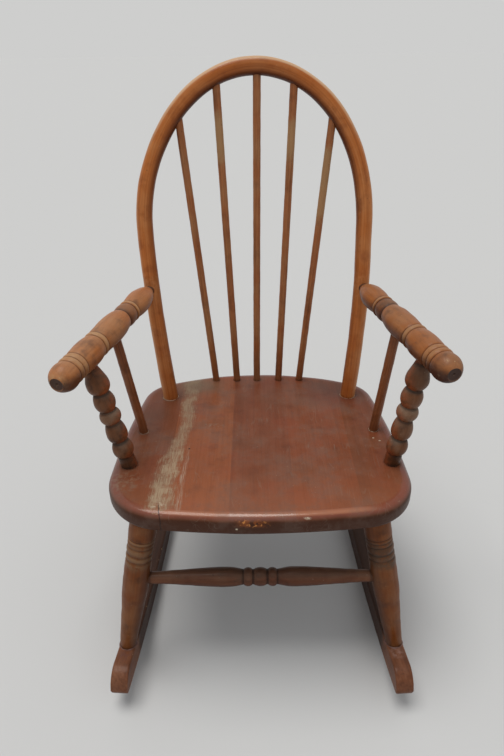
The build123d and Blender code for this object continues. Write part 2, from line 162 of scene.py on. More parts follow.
# what lies along a turned piece: (share of the length, tone), -1 for dark and 1 for worn pale
ARM_TONES = (
    (0, -0.45), (0.05, -0.25), (0.1, 0), (0.28, 0), (0.29, 0.7), (0.3, 0.7), (0.31, -0.4),
    (0.385, -0.6), (0.4, 0.1), (0.62, 0), (0.64, 0.8), (0.66, 0.8), (0.68, 0), (0.82, 0),
    (0.84, 0.6), (0.89, 0.6), (0.91, 0.05), (0.97, 0.1), (1, 0.6),
)
# the hand has darkened the grip of the right arm
RIGHT_ARM_TONES = (*ARM_TONES[:-3], (0.905, 0), (0.935, -0.35), (0.98, -0.3), (1, 0.2))
POST_TONES = (
    (0, -0.75), (0.11, -0.3), (0.23, 0), (0.39, 0), (0.42, 0.45), (0.52, 0.5), (0.54, 0),
    (0.88, 0.05), (0.95, -0.2),
)
# its pear is darker on the right
RIGHT_POST_TONES = (*POST_TONES[:-3], (0.64, 0), (0.72, -0.35), (0.9, -0.5), (0.95, -0.6))
LEG_TONES = (
    (0, -0.1), (0.08, 0), (0.65, 0), (0.695, 0.55), (0.706, -0.1), (0.713, 0), (0.726, 0.8),
    (0.74, 0.8), (0.75, -0.15), (0.76, 0), (0.776, 0.6), (0.796, 0.6), (0.808, -0.05),
    (0.822, 0.45), (0.838, 0.1), (0.846, 0.8), (0.856, 0.8), (0.864, 0.1), (0.9, 0.15), (0.95, 0),
    (1, -0.05),
)
# grimy between its rings
RIGHT_LEG_TONES = (
    (0, -0.1), (0.08, 0), (0.64, 0), (0.69, 0.4), (0.706, -0.3), (0.713, -0.2), (0.728, 0.45),
    (0.738, 0.45), (0.75, -0.6), (0.762, -0.5), (0.784, 0.2), (0.808, -0.5), (0.824, 0.4),
    (0.838, -0.5), (0.85, 0.45), (0.864, -0.4), (0.88, 0.3), (0.91, 0), (1, -0.05),
)
STRETCHER_TONES = ((0, 0.6), (0.12, 0.35), (0.25, 0), (0.75, 0), (0.88, 0.35), (1, 0.6))

# ---- places
SEAT_MIDDLE = np.array([0, -SEAT_FORWARD, SEAT_HEIGHT], float)
ACROSS = np.array([1.0, 0, 0])
SEAT_BACKWARD = np.array([0, cos(SEAT_TILT), -sin(SEAT_TILT)])
SEAT_UP = np.array([0, sin(SEAT_TILT), cos(SEAT_TILT)])
HOOP_UP = np.array([0, sin(HOOP_LEAN), cos(HOOP_LEAN)])


def combine(origin, *terms):
    """Origin plus each number, or array of numbers, times its direction."""
    total = np.asarray(origin, float)
    for amount, way in terms:
        total = total + np.multiply.outer(amount, way)
    return total


def on_seat(across, back, up=0.0):
    return combine(SEAT_MIDDLE, (across, ACROSS), (back, SEAT_BACKWARD), (up, SEAT_UP))


def on_hoop(across, rise):
    return combine(on_seat(0, HOOP_SET_BACK), (across, ACROSS), (rise, HOOP_UP))


def hoop_half_width_at(rise):
    """Middle of the chair to the middle of the hoop, below its widest place."""
    taper = HOOP_HALF_WIDTH - HOOP_FOOT_HALF_WIDTH
    radius = (HOOP_WIDEST_RISE**2 + taper**2) / (2 * taper)
    return HOOP_HALF_WIDTH - radius + sqrt(radius**2 - (HOOP_WIDEST_RISE - rise) ** 2)


def hoop_settling(side, rise):
    """How far one side of the hoop stands to the right of its true place at a height."""
    halfway_up = -2.6 * exp(-(((rise - 250) / 80) ** 2))
    at_left_foot = 3.4 * exp(-((rise / 110) ** 2)) if side < 0 else 0
    return halfway_up + at_left_foot


def hoop_foot(side):
    return on_hoop(side * HOOP_FOOT_HALF_WIDTH + hoop_settling(side, 0), 0)


def over_spindle(x):
    """Middle of the hoop above a given place across the chair."""
    share = sqrt(1 - (x / HOOP_HALF_WIDTH) ** 2)
    return on_hoop(x, HOOP_WIDEST_RISE + (HOOP_RISE - HOOP_WIDEST_RISE) * share)


def unit(vector):
    return vector / np.linalg.norm(vector)


def between(start, end, share):
    return start + (end - start) * share


def rocker_frame(side):
    """Low point of a rocker, and its directions along and across."""
    along = np.array([-side * sin(ROCKER_TOE), cos(ROCKER_TOE), 0])
    out = np.array([cos(ROCKER_TOE), side * sin(ROCKER_TOE), 0])
    return np.array([side * ROCKER_HALF_TRACK, 0, 0], float), along, out


def leg_top(end, side):
    half_spread, set_back = LEG_TOPS[end]
    return on_seat(side * half_spread, set_back, -SEAT_THICKNESS)


def leg_foot(end, side):
    """Middle of the foot of a leg, on top of the rocker."""
    low, along, _ = rocker_frame(side)
    top_radius = ROCKER_RADIUS - ROCKER_DEPTH
    drop = sqrt(top_radius**2 - LEG_FEET[end] ** 2)
    return combine(low, (LEG_FEET[end], along), (ROCKER_RADIUS - drop, (0, 0, 1)))


def leg_at_stretcher(end, side):
    foot, top = leg_foot(end, side), leg_top(end, side)
    return between(foot, top, (STRETCHER_HEIGHTS[end] - foot[2]) / (top[2] - foot[2]))


def arm_axis(side):
    start_x = side * hoop_half_width_at(ARM_RISE) + hoop_settling(side, ARM_RISE)
    half_spread, reach, height = ARM_FRONTS[side]
    return on_hoop(start_x, ARM_RISE), on_seat(side * half_spread, -reach, height)


def post_axis(side):
    start, end = arm_axis(side)
    half_spread, set_back = POST_FEET[side]
    return on_seat(side * half_spread, set_back), between(start, end, POST_SHARES[side])


def side_spindle_axis(side):
    start, end = arm_axis(side)
    foot = on_seat(side * SIDE_SPINDLE_FOOT[0], SIDE_SPINDLE_FOOT[1])
    return foot, between(start, end, SIDE_SPINDLE_SHARES[side])


def spindle_axes():
    for foot_x, top_x in zip(SPINDLE_FEET, SPINDLE_TOPS):
        yield on_seat(foot_x, SPINDLE_SET_BACK), over_spindle(top_x)


# ---- node trees
def arithmetic(operation, swapped=False):
    """A method that adds a Math node for two numbers, the second one first where swapped."""

    def method(self, other):
        return self.tree.maths(operation, *((other, self) if swapped else (self, other)))

    return method


class Amount:
    """A number, colour or vector that a node gives. Arithmetic on it adds Math nodes."""

    __add__ = __radd__ = arithmetic("ADD")
    __sub__ = arithmetic("SUBTRACT")
    __rsub__ = arithmetic("SUBTRACT", swapped=True)
    __mul__ = __rmul__ = arithmetic("MULTIPLY")
    __truediv__ = arithmetic("DIVIDE")
    __pow__ = arithmetic("POWER")

    def __init__(self, tree, owner, output):
        self.tree, self.owner, self.socket = tree, owner, owner.outputs[output]

    def part(self, output):
        """Another output of the same node."""
        return Amount(self.tree, self.owner, output)

    def __neg__(self):
        return self * -1

    def __abs__(self):
        return self.tree.maths("ABSOLUTE", self)


class Tree:
    """The nodes of one finish or of one shape."""

    def __init__(self, node_tree):
        self.node_tree = node_tree

    def node(self, kind, sockets=None, output=0, **settings):
        """Adds a node: its settings first, then a value or a link for each socket given."""
        node = self.node_tree.nodes.new(kind)
        for name, setting in settings.items():
            setattr(node, name, setting)
        for key, value in (sockets or {}).items():
            if isinstance(value, Amount):
                self.node_tree.links.new(value.socket, node.inputs[key])
            else:
                node.inputs[key].default_value = value
        return Amount(self, node, output)

    def maths(self, operation, *values):
        return self.node("ShaderNodeMath", dict(enumerate(values)), operation=operation)

    def vectors(self, operation, *values, output=0):
        sockets = dict(enumerate(values))
        return self.node("ShaderNodeVectorMath", sockets, output, operation=operation)

    def scaled(self, vector, amount):
        sockets = {0: vector, "Scale": amount}
        return self.node("ShaderNodeVectorMath", sockets, operation="SCALE")

    def apart(self, vector):
        """The three numbers of a vector."""
        across = self.node("ShaderNodeSeparateXYZ", {0: vector})
        return across, across.part(1), across.part(2)

    def smooth(self, value, low, high):
        """From 0 below low to 1 above high."""
        sockets = {"Value": value, "From Min": low, "From Max": high}
        return self.node("ShaderNodeMapRange", sockets, interpolation_type="SMOOTHSTEP")

    def fade(self, value, low, high):
        """From 1 below low to 0 above high."""
        return 1 - self.smooth(value, low, high)

    def noise(self, vector, scale, detail=2.0, roughness=0.5, drawn_out=1.0):
        """Noise from 0 to 1, with that share of its scale along the grain."""
        if drawn_out != 1.0:
            vector = self.vectors("MULTIPLY", vector, (1, 1, drawn_out))
        sockets = {"Vector": vector, "Scale": scale, "Detail": detail, "Roughness": roughness}
        return self.node("ShaderNodeTexNoise", sockets)


# ---- shells
def new_object(name, data):
    """An object of the scene that shows the data."""
    shown = bpy.data.objects.new(name, data)
    bpy.context.scene.collection.objects.link(shown)
    return shown


def add_piece(mesh, slot, finish, *nodes):
    """Shows the mesh in place of the CAD nodes, on the chair's one body."""
    piece = new_object(mesh.name, mesh)
    mesh.materials.clear()
    mesh.materials.append(finish)
    mesh.shade_smooth()
    mesh.set_sharp_from_angle(angle=radians(50))
    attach(piece, "root")
    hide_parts(*nodes)


def facing_out(mesh):
    """The mesh with its faces turned outwards."""
    work = bmesh.new()
    work.from_mesh(mesh)
    bmesh.ops.recalc_face_normals(work, faces=work.faces)
    work.to_mesh(mesh)
    work.free()
    return mesh


def keep_field(mesh, label, values):
    """Keeps a row of one or of three numbers on each point of the mesh."""
    kind, entry = ("FLOAT_VECTOR", "vector") if values.shape[-1] == 3 else ("FLOAT", "value")
    mesh.attributes.new(label, kind, "POINT").data.foreach_set(entry, values.ravel())


def faces_between(loops, following):
    """Faces between loops of numbered points and the loops that follow them."""
    corners = [loops, np.roll(loops, -1, axis=1), np.roll(following, -1, axis=1), following]
    return np.stack(corners, axis=-1).reshape(-1, 4).tolist()


def shell_mesh(name, loops, grain, relief, tone=None):
    """Closed mesh through loops of points, each loop joined to the next and both ends capped.

    loops and grain are rows x points x 3 in millimetres. relief and tone are rows x points:
    from -1 in a groove to 1 on a crest, and from -1 for dark to 1 for worn pale.
    """
    index = np.arange(loops[..., 0].size).reshape(loops.shape[:2])
    first_end, last_end = index.size, index.size + 1
    faces = faces_between(index[:-1], index[1:])
    faces += [(first_end, b, a) for a, b in zip(index[0], np.roll(index[0], -1))]
    faces += [(last_end, a, b) for a, b in zip(index[-1], np.roll(index[-1], -1))]

    def with_ends(field):
        """The field's rows, followed by its means over the first loop and over the last."""
        means = field[[0, -1]].mean(axis=1).reshape(2, -1)
        return np.vstack([field.reshape(index.size, -1), means])

    mesh = bpy.data.meshes.new(name)
    mesh.from_pydata(with_ends(loops) * MM, [], faces)
    tone = np.zeros(index.shape) if tone is None else tone
    for label, field in {"grain": grain * MM, "relief": relief, "tone": tone}.items():
        keep_field(mesh, label, with_ends(field))
    return facing_out(mesh)


# ---- turning
def arc_between(first, second, step):
    """Places on a turned outline from one knot to the next, without the last."""
    (r0, h0, *crest0), (r1, h1, *crest1) = first, second
    count = max(2, round(np.hypot(r1 - r0, h1 - h0) / step))
    shares = np.arange(count) / count
    heights = h0 + (h1 - h0) * shares
    if crest0 == crest1 or abs(r1 - r0) < 1e-6:
        return r0 + (r1 - r0) * shares, heights
    crest_r, crest_h, corner_r, corner_h = (r0, h0, r1, h1) if crest0 else (r1, h1, r0, h0)
    sag = crest_r - corner_r
    radius = (sag**2 + (corner_h - crest_h) ** 2) / (2 * sag)
    return crest_r - radius + np.sqrt(radius**2 - (heights - crest_h) ** 2), heights


def turned_profile(outline, length, diameter, step=0.8):
    """Radii and heights of places along a turned outline."""
    knots = [(wide * diameter / 2, far * length, *crest) for far, wide, *crest in outline]
    runs = [np.stack(arc_between(*pair, step), axis=1) for pair in pairwise(knots)]
    return np.vstack([*runs, knots[-1][:2]]).T


def blurred(values, places, width):
    """Values averaged over their neighbours within about that distance."""
    weights = np.exp(-(((places[:, None] - places[None, :]) / width) ** 2))
    return weights @ values / weights.sum(axis=1)


def hand_marks(points, ways, seed, depth, size):
    """Points moved in or out a little, as on a surface that was turned or sawn by hand."""
    shift = Vector((seed * 7.1, seed * 3.7, seed * 1.9))
    moves = [noise.noise(Vector(place) / size + shift) for place in points.reshape(-1, 3)]
    return points + ways * (np.array(moves).reshape(*points.shape[:2], 1) * depth)


def turned_mesh(name, outline, ends, diameter, seed, tones, grime=(0, 0), around=56):
    """Turned piece between two ends, with dirt where it meets its neighbours.

    grime has the dirt's distances from the near end and the far end; -inf leaves it out there.
    """
    start, end = ends
    length = np.linalg.norm(end - start)
    radii, heights = turned_profile(outline, length, diameter)
    axis = unit(end - start)
    beside = np.array([0, 0, 1.0]) if abs(axis[0]) > 0.7 else ACROSS
    first_way = unit(beside - axis * (beside @ axis))
    turns = np.arange(around) * tau / around
    spokes = np.outer(np.cos(turns), first_way) + np.outer(np.sin(turns), np.cross(axis, first_way))
    ways = np.broadcast_to(spokes, (len(radii), *spokes.shape))
    loops = start + heights[:, None, None] * axis + radii[:, None, None] * ways
    loops = hand_marks(loops, ways, seed, depth=0.35, size=11)
    pith = np.array([4 + 3 * sin(seed * 5.3), 6 * cos(seed * 2.9)]) * diameter / 30
    level = np.ones(around)
    across = [np.outer(radii, np.cos(turns)) + pith[0], np.outer(radii, np.sin(turns)) + pith[1]]
    grain = np.stack([*across, np.outer(heights + seed * 173.0, level)], axis=-1)
    relief = np.clip((radii - blurred(radii, heights, 5.0)) / 0.9, -1, 1)
    for height in (grime[0], length - grime[1]):
        relief = relief - np.exp(-(((heights - height) / 3.5) ** 2))
    # the tone darkens in the hollows of the outline: painted shade, and stain that pooled there
    hollow = np.clip((blurred(radii, heights, 10.0) - radii) / 1.6, 0, 1)
    tone = np.maximum(np.interp(heights / length, *zip(*tones)) - 0.6 * hollow, -0.85)
    end_grain = np.arange(len(heights)) > np.argmax(heights)
    tone[end_grain] = -1
    relief[end_grain] = np.clip(relief[end_grain] - 0.25, -0.55, 0)
    return shell_mesh(name, loops, grain, np.outer(relief, level), np.outer(tone, level))


def both_ways(outline):
    """An outline of one half, with its mirror image before it."""
    sides = ((-1, outline[:0:-1]), (1, outline))
    return [((1 + way * far) / 2, *knot) for way, half in sides for far, *knot in half]


# ---- seat
def circle_through(first, middle, last):
    """Centre and radius of the circle through three places in the plane of the seat."""
    others = np.array([middle, last], float)
    sums = np.square(others).sum(axis=1) - np.square(first).sum()
    centre = np.linalg.solve(2 * (others - first), sums)
    return centre, np.linalg.norm(centre - first)


def corner_circle(first, second, radius, near):
    """Circle of that radius inside two others, touching both, at the corner near a place."""
    (c1, r1), (c2, r2) = first, second
    apart = np.linalg.norm(c2 - c1)
    reach = ((r1 - radius) ** 2 - (r2 - radius) ** 2 + apart**2) / (2 * apart)
    side = sqrt((r1 - radius) ** 2 - reach**2)
    east, north = toward = (c2 - c1) / apart
    places = [c1 + toward * reach + np.array([-north, east]) * way * side for way in (1, -1)]
    return min(places, key=lambda place: np.linalg.norm(place - near)), radius


def arc_points(circle, start, end, spacing):
    """Places and outward directions on a circle from near start to near end, anticlockwise."""
    centre, radius = circle
    from_angle = np.arctan2(*(start - centre)[::-1])
    to_angle = np.arctan2(*(end - centre)[::-1])
    sweep = (to_angle - from_angle) % tau
    count = max(2, round(sweep * radius / spacing))
    angles = from_angle + sweep * np.arange(count) / count
    ways = np.stack([np.cos(angles), np.sin(angles)], axis=1)
    return centre + radius * ways, ways


def seat_outline(spacing=2.4):
    """Places and outward directions around the seat, anticlockwise, in the plane of its top."""
    front_y = SEAT_FRONT_BOW - SEAT_FRONT_REACH
    back_y = SEAT_BACK_REACH - SEAT_BACK_BOW
    side_x = (SEAT_FRONT_HALF_WIDTH + SEAT_BACK_HALF_WIDTH) / 2 + SEAT_SIDE_BOW
    side_y = (front_y + back_y) / 2
    # each corner with its rounding, and the middle of the edge that leads to it
    corners = np.array([
        (SEAT_FRONT_HALF_WIDTH, front_y), (SEAT_BACK_HALF_WIDTH, back_y),
        (-SEAT_BACK_HALF_WIDTH, back_y), (-SEAT_FRONT_HALF_WIDTH, front_y),
    ])
    rounds = (SEAT_FRONT_CORNERS[1], SEAT_BACK_CORNER, SEAT_BACK_CORNER, SEAT_FRONT_CORNERS[-1])
    middles = ((0, -SEAT_FRONT_REACH), (side_x, side_y), (0, SEAT_BACK_REACH), (-side_x, side_y))
    edges = [circle_through(corners[n - 1], middles[n], corners[n]) for n in range(4)]
    next_edges = edges[1:] + edges[:1]
    bends = [corner_circle(*corner) for corner in zip(edges, next_edges, rounds, corners)]

    def touch(edge, bend):
        """Where an edge goes over into the rounding of a corner."""
        return edge[0] + unit(bend[0] - edge[0]) * edge[1]

    runs = []
    for edge, next_edge, last_bend, bend in zip(edges, next_edges, bends[-1:] + bends, bends):
        corner = touch(edge, bend)
        runs.append(arc_points(edge, touch(edge, last_bend), corner, spacing))
        runs.append(arc_points(bend, corner, touch(next_edge, bend), spacing))
    return [np.vstack(column) for column in zip(*runs)]


def quarter_round(radius, start_angle, steps=7):
    """Inset and height of places on a rounded edge, over a quarter turn."""
    angles = start_angle + np.arange(steps + 1) * pi / 2 / steps
    return radius * (1 - np.cos(angles)), radius * np.sin(angles)


def seat_mesh(underside_rings=20, top_rings=52):
    """Whole seat as rings from the middle of its underside, round the edge, to its top."""
    outline, ways = seat_outline()
    low_in, low_up = quarter_round(SEAT_BOTTOM_ROUND, -pi / 2)
    high_in, high_up = quarter_round(SEAT_TOP_ROUND, 0)
    insets = np.concatenate([low_in, high_in])
    low_up = low_up - SEAT_THICKNESS + SEAT_BOTTOM_ROUND
    heights = np.concatenate([low_up, high_up - SEAT_TOP_ROUND])
    rim = [outline - ways * inset for inset in insets]
    underside = [rim[0] * share for share in np.linspace(0.02, 0.97, underside_rings)]
    top = [rim[-1] * (1 - share) for share in np.linspace(0.02, 0.985, top_rings)]
    flat = np.stack(underside + rim + top)
    ups = np.concatenate([np.full(len(underside), -SEAT_THICKNESS), heights, np.zeros(len(top))])
    up_field = np.broadcast_to(ups[:, None], flat.shape[:2])
    loops = on_seat(flat[..., 0], flat[..., 1], up_field)
    loops = hand_marks(loops, np.broadcast_to(SEAT_UP, loops.shape), 3, depth=0.5, size=46)
    grain = np.stack([flat[..., 0], up_field + 60.0, flat[..., 1]], axis=-1)
    edge_wear = np.exp(-(((ups + 2.0) / 2.2) ** 2))
    edge_wear[len(underside) + len(rim) :] = 0
    relief = np.outer(edge_wear, np.ones(len(outline)))
    for foot, radius in standing_pieces():
        clear = np.linalg.norm(loops - foot, axis=-1) - radius
        relief = relief - 0.7 * np.exp(-((np.maximum(clear, 0) / 2.6) ** 2))
    return shell_mesh("seat", loops, grain, np.clip(relief, -1, 1))


def standing_pieces():
    """Foot and radius of each piece that stands in the seat."""
    for side in SIDES.values():
        yield hoop_foot(side), HOOP_DIAMETER / 2
        yield post_axis(side)[0], POST_FOOT_RADIUS
        yield side_spindle_axis(side)[0], SIDE_SPINDLE_DIAMETER / 2
    for foot, _ in spindle_axes():
        yield foot, SPINDLE_DIAMETER / 2


def parted_board(whole, name, low, high, grain_shift):
    """The part of the seat between two glue lines, cut from a plank of its own."""
    work = bmesh.new()
    work.from_mesh(whole)
    for x, way in ((low, -1), (high, 1)):
        if x is None:
            continue
        everything = work.verts[:] + work.edges[:] + work.faces[:]
        plane = {"plane_co": (x * MM, 0, 0), "plane_no": (way, 0, 0)}
        bmesh.ops.bisect_plane(work, geom=everything, clear_outer=True, dist=1e-7, **plane)
        bmesh.ops.holes_fill(work, edges=[edge for edge in work.edges if edge.is_boundary])
    mesh = bpy.data.meshes.new(name)
    work.to_mesh(mesh)
    work.free()
    layer = mesh.attributes["grain"].data
    grain = np.empty(len(layer) * 3)
    layer.foreach_get("vector", grain)
    layer.foreach_set("vector", grain + np.tile(np.array(grain_shift) * MM, len(layer)))
    return mesh


# ---- hoop and rockers
def hoop_line(step=2.5, turns=170):
    """Middle of the hoop from its left foot to its right foot, in its own plane."""
    rises = np.arange(-8, HOOP_WIDEST_RISE, step)
    side = np.array([(hoop_half_width_at(rise), rise) for rise in rises])
    angles = np.arange(turns + 1) * pi / turns
    upper = (HOOP_RISE - HOOP_WIDEST_RISE) * np.sin(angles)
    crown = np.stack([-HOOP_HALF_WIDTH * np.cos(angles), HOOP_WIDEST_RISE + upper], axis=1)
    line = np.vstack([side * (-1, 1), crown, side[::-1]])
    line[:, 0] += [hoop_settling(1 if x > 0 else -1, rise) for x, rise in line]
    return line


def hoop_path():
    """The hoop's middle as joined points, each with its thickness, dirt and tone."""
    line = hoop_line()
    centres = on_hoop(line[:, 0], line[:, 1])
    steps = np.linalg.norm(np.diff(centres, axis=0), axis=1)
    travelled = np.concatenate([[0], np.cumsum(steps)])
    crown = np.clip((line[:, 1] - HOOP_WIDEST_RISE) / (HOOP_RISE - HOOP_WIDEST_RISE), 0, 1)
    from_foot = np.minimum(travelled, travelled[-1] - travelled)
    relief = -0.6 * np.exp(-(((from_foot - 8) / 3) ** 2))
    # darker near the feet, and painted shade that darkens the crown
    tone = -0.4 * np.exp(-((from_foot / 110) ** 2)) - 0.4 * crown**3
    for side in SIDES.values():
        away = np.linalg.norm(centres - arm_axis(side)[0], axis=1)
        relief -= 0.3 * np.exp(-((away / 8) ** 2))
        tone += 0.5 * np.exp(-((away / 22) ** 2))
    mesh = bpy.data.meshes.new("hoop path")
    mesh.from_pydata(centres * MM, [(number, number + 1) for number in range(len(line) - 1)], [])
    thickness = 1 - (1 - HOOP_CROWN_SHARE) * crown**2
    for label, field in {"thickness": thickness, "relief": relief, "tone": tone}.items():
        keep_field(mesh, label, field[:, None])
    return mesh


class Rod(Tree):
    """A round wooden rod along a path, as a shape tree with named sizes in metres."""

    def __init__(self, name, finish, sizes):
        super().__init__(bpy.data.node_groups.new(name, "GeometryNodeTree"))
        self.finish = finish
        new_socket = self.node_tree.interface.new_socket
        new_socket("Path", in_out="INPUT", socket_type="NodeSocketGeometry")
        new_socket("Rod", in_out="OUTPUT", socket_type="NodeSocketGeometry")
        self.identifiers = {}
        for label, size in sizes.items():
            kind = "NodeSocketVector" if isinstance(size, tuple) else "NodeSocketFloat"
            socket = new_socket(label, in_out="INPUT", socket_type=kind)
            socket.default_value = size
            self.identifiers[label] = socket.identifier
        self.size = self.node("NodeGroupInput").part

    def kept(self, geometry, label, value, kind="FLOAT"):
        """The geometry with a value kept on its points under a name."""
        sockets = {"Geometry": geometry, "Name": label, "Value": value}
        settings = {"data_type": kind, "domain": "POINT"}
        return self.node("GeometryNodeStoreNamedAttribute", sockets, **settings)

    def named(self, label, kind="FLOAT"):
        return self.node("GeometryNodeInputNamedAttribute", {"Name": label}, data_type=kind)

    def rounded(self, path, thickness, around, dent_size):
        """Carries a circle along the path, lays the grain and leaves the marks of the hand."""
        position = self.node("GeometryNodeInputPosition")
        sockets = {"Resolution": around, "Radius": self.size("Diameter") / 2}
        circle = self.node("GeometryNodeCurvePrimitiveCircle", sockets, mode="RADIUS")
        circle = self.kept(circle, "across", position, "FLOAT_VECTOR")
        travelled = self.node("GeometryNodeSplineParameter", output="Length")
        path = self.kept(path, "along", travelled)
        path = self.node("GeometryNodeSetCurveRadius", {"Curve": path, "Radius": thickness})
        sockets = {"Curve": path, "Profile Curve": circle, "Fill Caps": True}
        rod = self.node("GeometryNodeCurveToMesh", sockets)
        seed = self.size("Seed")
        across_x, across_y, _ = self.apart(self.named("across", "FLOAT_VECTOR"))
        along = self.named("along") + seed * 0.173
        sockets = {"X": across_x + 0.014, "Y": across_y + 0.005, "Z": along}
        rod = self.kept(rod, "grain", self.node("ShaderNodeCombineXYZ", sockets), "FLOAT_VECTOR")
        moved = self.vectors("ADD", position, self.scaled((7.1, 3.7, 1.9), seed))
        dents = (self.noise(moved, 1 / dent_size, 1.0) - 0.5) * self.size("Dents") * 2
        offset = self.scaled(self.node("GeometryNodeInputNormal"), dents)
        rod = self.node("GeometryNodeSetPosition", {"Geometry": rod, "Offset": offset})
        for label in ("across", "along"):
            rod = self.node("GeometryNodeRemoveAttribute", {"Geometry": rod, "Name": label})
        rod = self.node("GeometryNodeRealizeInstances", {"Geometry": rod})
        rod = self.node("GeometryNodeSetMaterial", {"Geometry": rod, "Material": self.finish})
        result = self.node_tree.nodes.new("NodeGroupOutput")
        self.node_tree.links.new(rod.socket, result.inputs["Rod"])

    def grown(self, name, path, sizes):
        """Plain mesh of the rod on a path, with its own sizes."""
        holder = new_object(name, path)
        modifier = holder.modifiers.new(name, "NODES")
        modifier.node_group = self.node_tree
        for label, size in sizes.items():
            modifier[self.identifiers[label]] = size
        settled = bpy.context.evaluated_depsgraph_get()
        mesh = bpy.data.meshes.new_from_object(
            holder.evaluated_get(settled), preserve_all_data_layers=True, depsgraph=settled
        )
        bpy.data.objects.remove(holder)
        bpy.data.meshes.remove(path)
        mesh.name = name
        return facing_out(mesh)


def bent_rod(finish):
    """The hoop's tree: the path brings its own thickness, dirt and tone."""
    rod = Rod("bent hoop", finish, {"Diameter": HOOP_DIAMETER * MM, "Dents": 0.0006, "Seed": 0.5})
    path = rod.node("GeometryNodeMeshToCurve", {"Mesh": rod.size("Path")})
    rod.rounded(path, rod.named("thickness"), around=48, dent_size=0.04)
    return rod


def plain_spindle(finish):
    """The tree of a plain turned spindle, from its foot to its top."""
    sizes = {
        "Foot": (0.0, 0.0, 0.0), "Top": (0.0, 0.0, 1.0), "Diameter": SPINDLE_DIAMETER * MM,
        "Top share": 0.88, "Worn from": 2.0, "Worn to": 2.0, "Dents": 0.0003, "Seed": 0.0,
    }
    rod = Rod("plain spindle", finish, sizes)
    foot, top, worn_from, worn_to = map(rod.size, ("Foot", "Top", "Worn from", "Worn to"))
    ends = {"Start": foot, "End": top}
    line = rod.node("GeometryNodeCurvePrimitiveLine", ends, mode="POINTS")
    path = rod.node("GeometryNodeResampleCurve", {"Curve": line, "Count": 130}, mode="COUNT")
    share = rod.node("GeometryNodeSplineParameter", output="Factor")
    height = share.part("Length")
    length = rod.vectors("DISTANCE", foot, top, output="Value")
    thickness = 1 - rod.smooth(share, 0.35, 1.0) * (1 - rod.size("Top share"))
    at_foot = rod.fade(height, 0.001, 0.006)
    at_top = rod.fade(length - height, 0.01, 0.02)
    path = rod.kept(path, "relief", at_foot * -0.7 - at_top * 0.55)
    worn = rod.smooth(share, worn_from - 0.06, worn_from + 0.04)
    whole = rod.smooth(share, worn_to - 0.04, worn_to + 0.04)
    path = rod.kept(path, "tone", worn - whole - rod.fade(share, 0.02, 0.26) * 0.45)
    rod.rounded(path, thickness, around=28, dent_size=0.012)
    return rod


def rocker_mesh(name, side, seed, sections=191):
    """Sawn curve of even depth: a rounded oblong section carried along an arc."""
    low, along, out = rocker_frame(side)
    reach = ROCKER_RADIUS * asin(ROCKER_LENGTH / 2 / cos(ROCKER_TOE) / ROCKER_RADIUS)
    steps = np.linspace(-1, 1, sections)[:, None]
    lengths = reach * np.sin(steps * pi / 2) * 0.25 + reach * steps * 0.75
    lengths = np.where(lengths < 0, lengths * (1 + ROCKER_FRONT_EXTRA[side] / reach), lengths)
    slopes = lengths / ROCKER_RADIUS
    from_end = np.minimum(lengths - lengths[0], lengths[-1] - lengths)

    def cut(rounding):
        """How far the rounding of the ends cuts into the rocker at each place along it."""
        inside = np.clip(rounding - from_end, 0, rounding)
        return rounding - np.sqrt(rounding**2 - inside**2)

    bottom, top = cut(ROCKER_HEEL_ROUND), ROCKER_DEPTH - cut(ROCKER_NOSE_ROUND)
    half, corner = ROCKER_WIDTH / 2, ROCKER_EDGE_ROUND
    edge = np.minimum(corner, (top - bottom) / 2.2)

    # five places on each of the four rounded edges, and six along each side between them
    out_way, up_way = np.repeat(((1, 1), (-1, 1), (-1, -1), (1, -1)), 5, axis=0).T
    angles = (np.arange(4)[:, None] + np.arange(5) / 4).ravel() * pi / 2
    across = out_way * (half - edge) + np.cos(angles) * edge
    up = (top + bottom) / 2 + up_way * ((top - bottom) / 2 - edge) + np.sin(angles) * edge
    places = [(n, share / 6) for n in range(20) for share in range(6 if n % 5 == 4 else 1)]
    first, share = (np.array(column) for column in zip(*places))
    across, up = (
        field[:, first] + (field[:, (first + 1) % 20] - field[:, first]) * share
        for field in (across, up)
    )
    radial = ROCKER_RADIUS - up
    drop = ROCKER_RADIUS - radial * np.cos(slopes)
    loops = combine(low, (across, out), (radial * np.sin(slopes), along), (drop, (0, 0, 1)))
    grain = np.stack([across + 40 * seed, up + 25, np.broadcast_to(lengths, up.shape)], axis=-1)
    relief = (np.abs(across) > half - corner * 0.8) & ((up > top - 1.5) | (up < bottom + 1.5))

    # painted shadow of the seat, from the front leg backwards, and most on the inner side
    shadow_behind_leg = np.interp(lengths, (-176, -162, 60, 150), (0, 1, 1, 0.3))
    outer = np.clip((across * side / half - 0.5) / 0.4, 0, 1)
    tone = -shadow_behind_leg * (0.85 - 0.55 * outer)
    return shell_mesh(name, loops, grain, relief.astype(float), tone)


# ---- glue and putty
def squeezed_ring(name, centre, up, radius, width, height, seed, slot, finish, around=60):
    """Uneven bead of hardened glue or putty round what stands on a surface."""
    first_way = unit(np.cross(up, ACROSS))
    second_way = np.cross(up, first_way)
    shift = Vector((seed * 3.3, seed * 1.7, seed * 0.9))
    loops = []
    for turn in np.arange(around) * tau / around:
        way = cos(turn) * first_way + sin(turn) * second_way
        spread = noise.noise(Vector(way) * 1.6 + shift)
        lump = noise.noise(Vector(way) * 4.1 - shift)
        reach = width * max(0.15, 0.75 + 0.9 * spread + 0.35 * lump)
        rise = height * max(0.15, 0.75 + 0.7 * spread - 0.4 * lump)
        section = (
            (-1.5, -0.6), (-1.5, rise), (0, rise), (0.35 * reach, 0.8 * rise),
            (0.75 * reach, 0.35 * rise), (reach, -0.1), (reach, -0.6),
        )
        loops.append([centre + way * (radius + out) + up * rising for out, rising in section])
    loops = np.array(loops)
    index = np.arange(loops[..., 0].size).reshape(loops.shape[:2])
    mesh = bpy.data.meshes.new(name)
    faces = faces_between(index, np.roll(index, -1, axis=0))
    mesh.from_pydata(loops.reshape(-1, 3) * MM, [], faces)
    add_piece(facing_out(mesh), slot, finish)


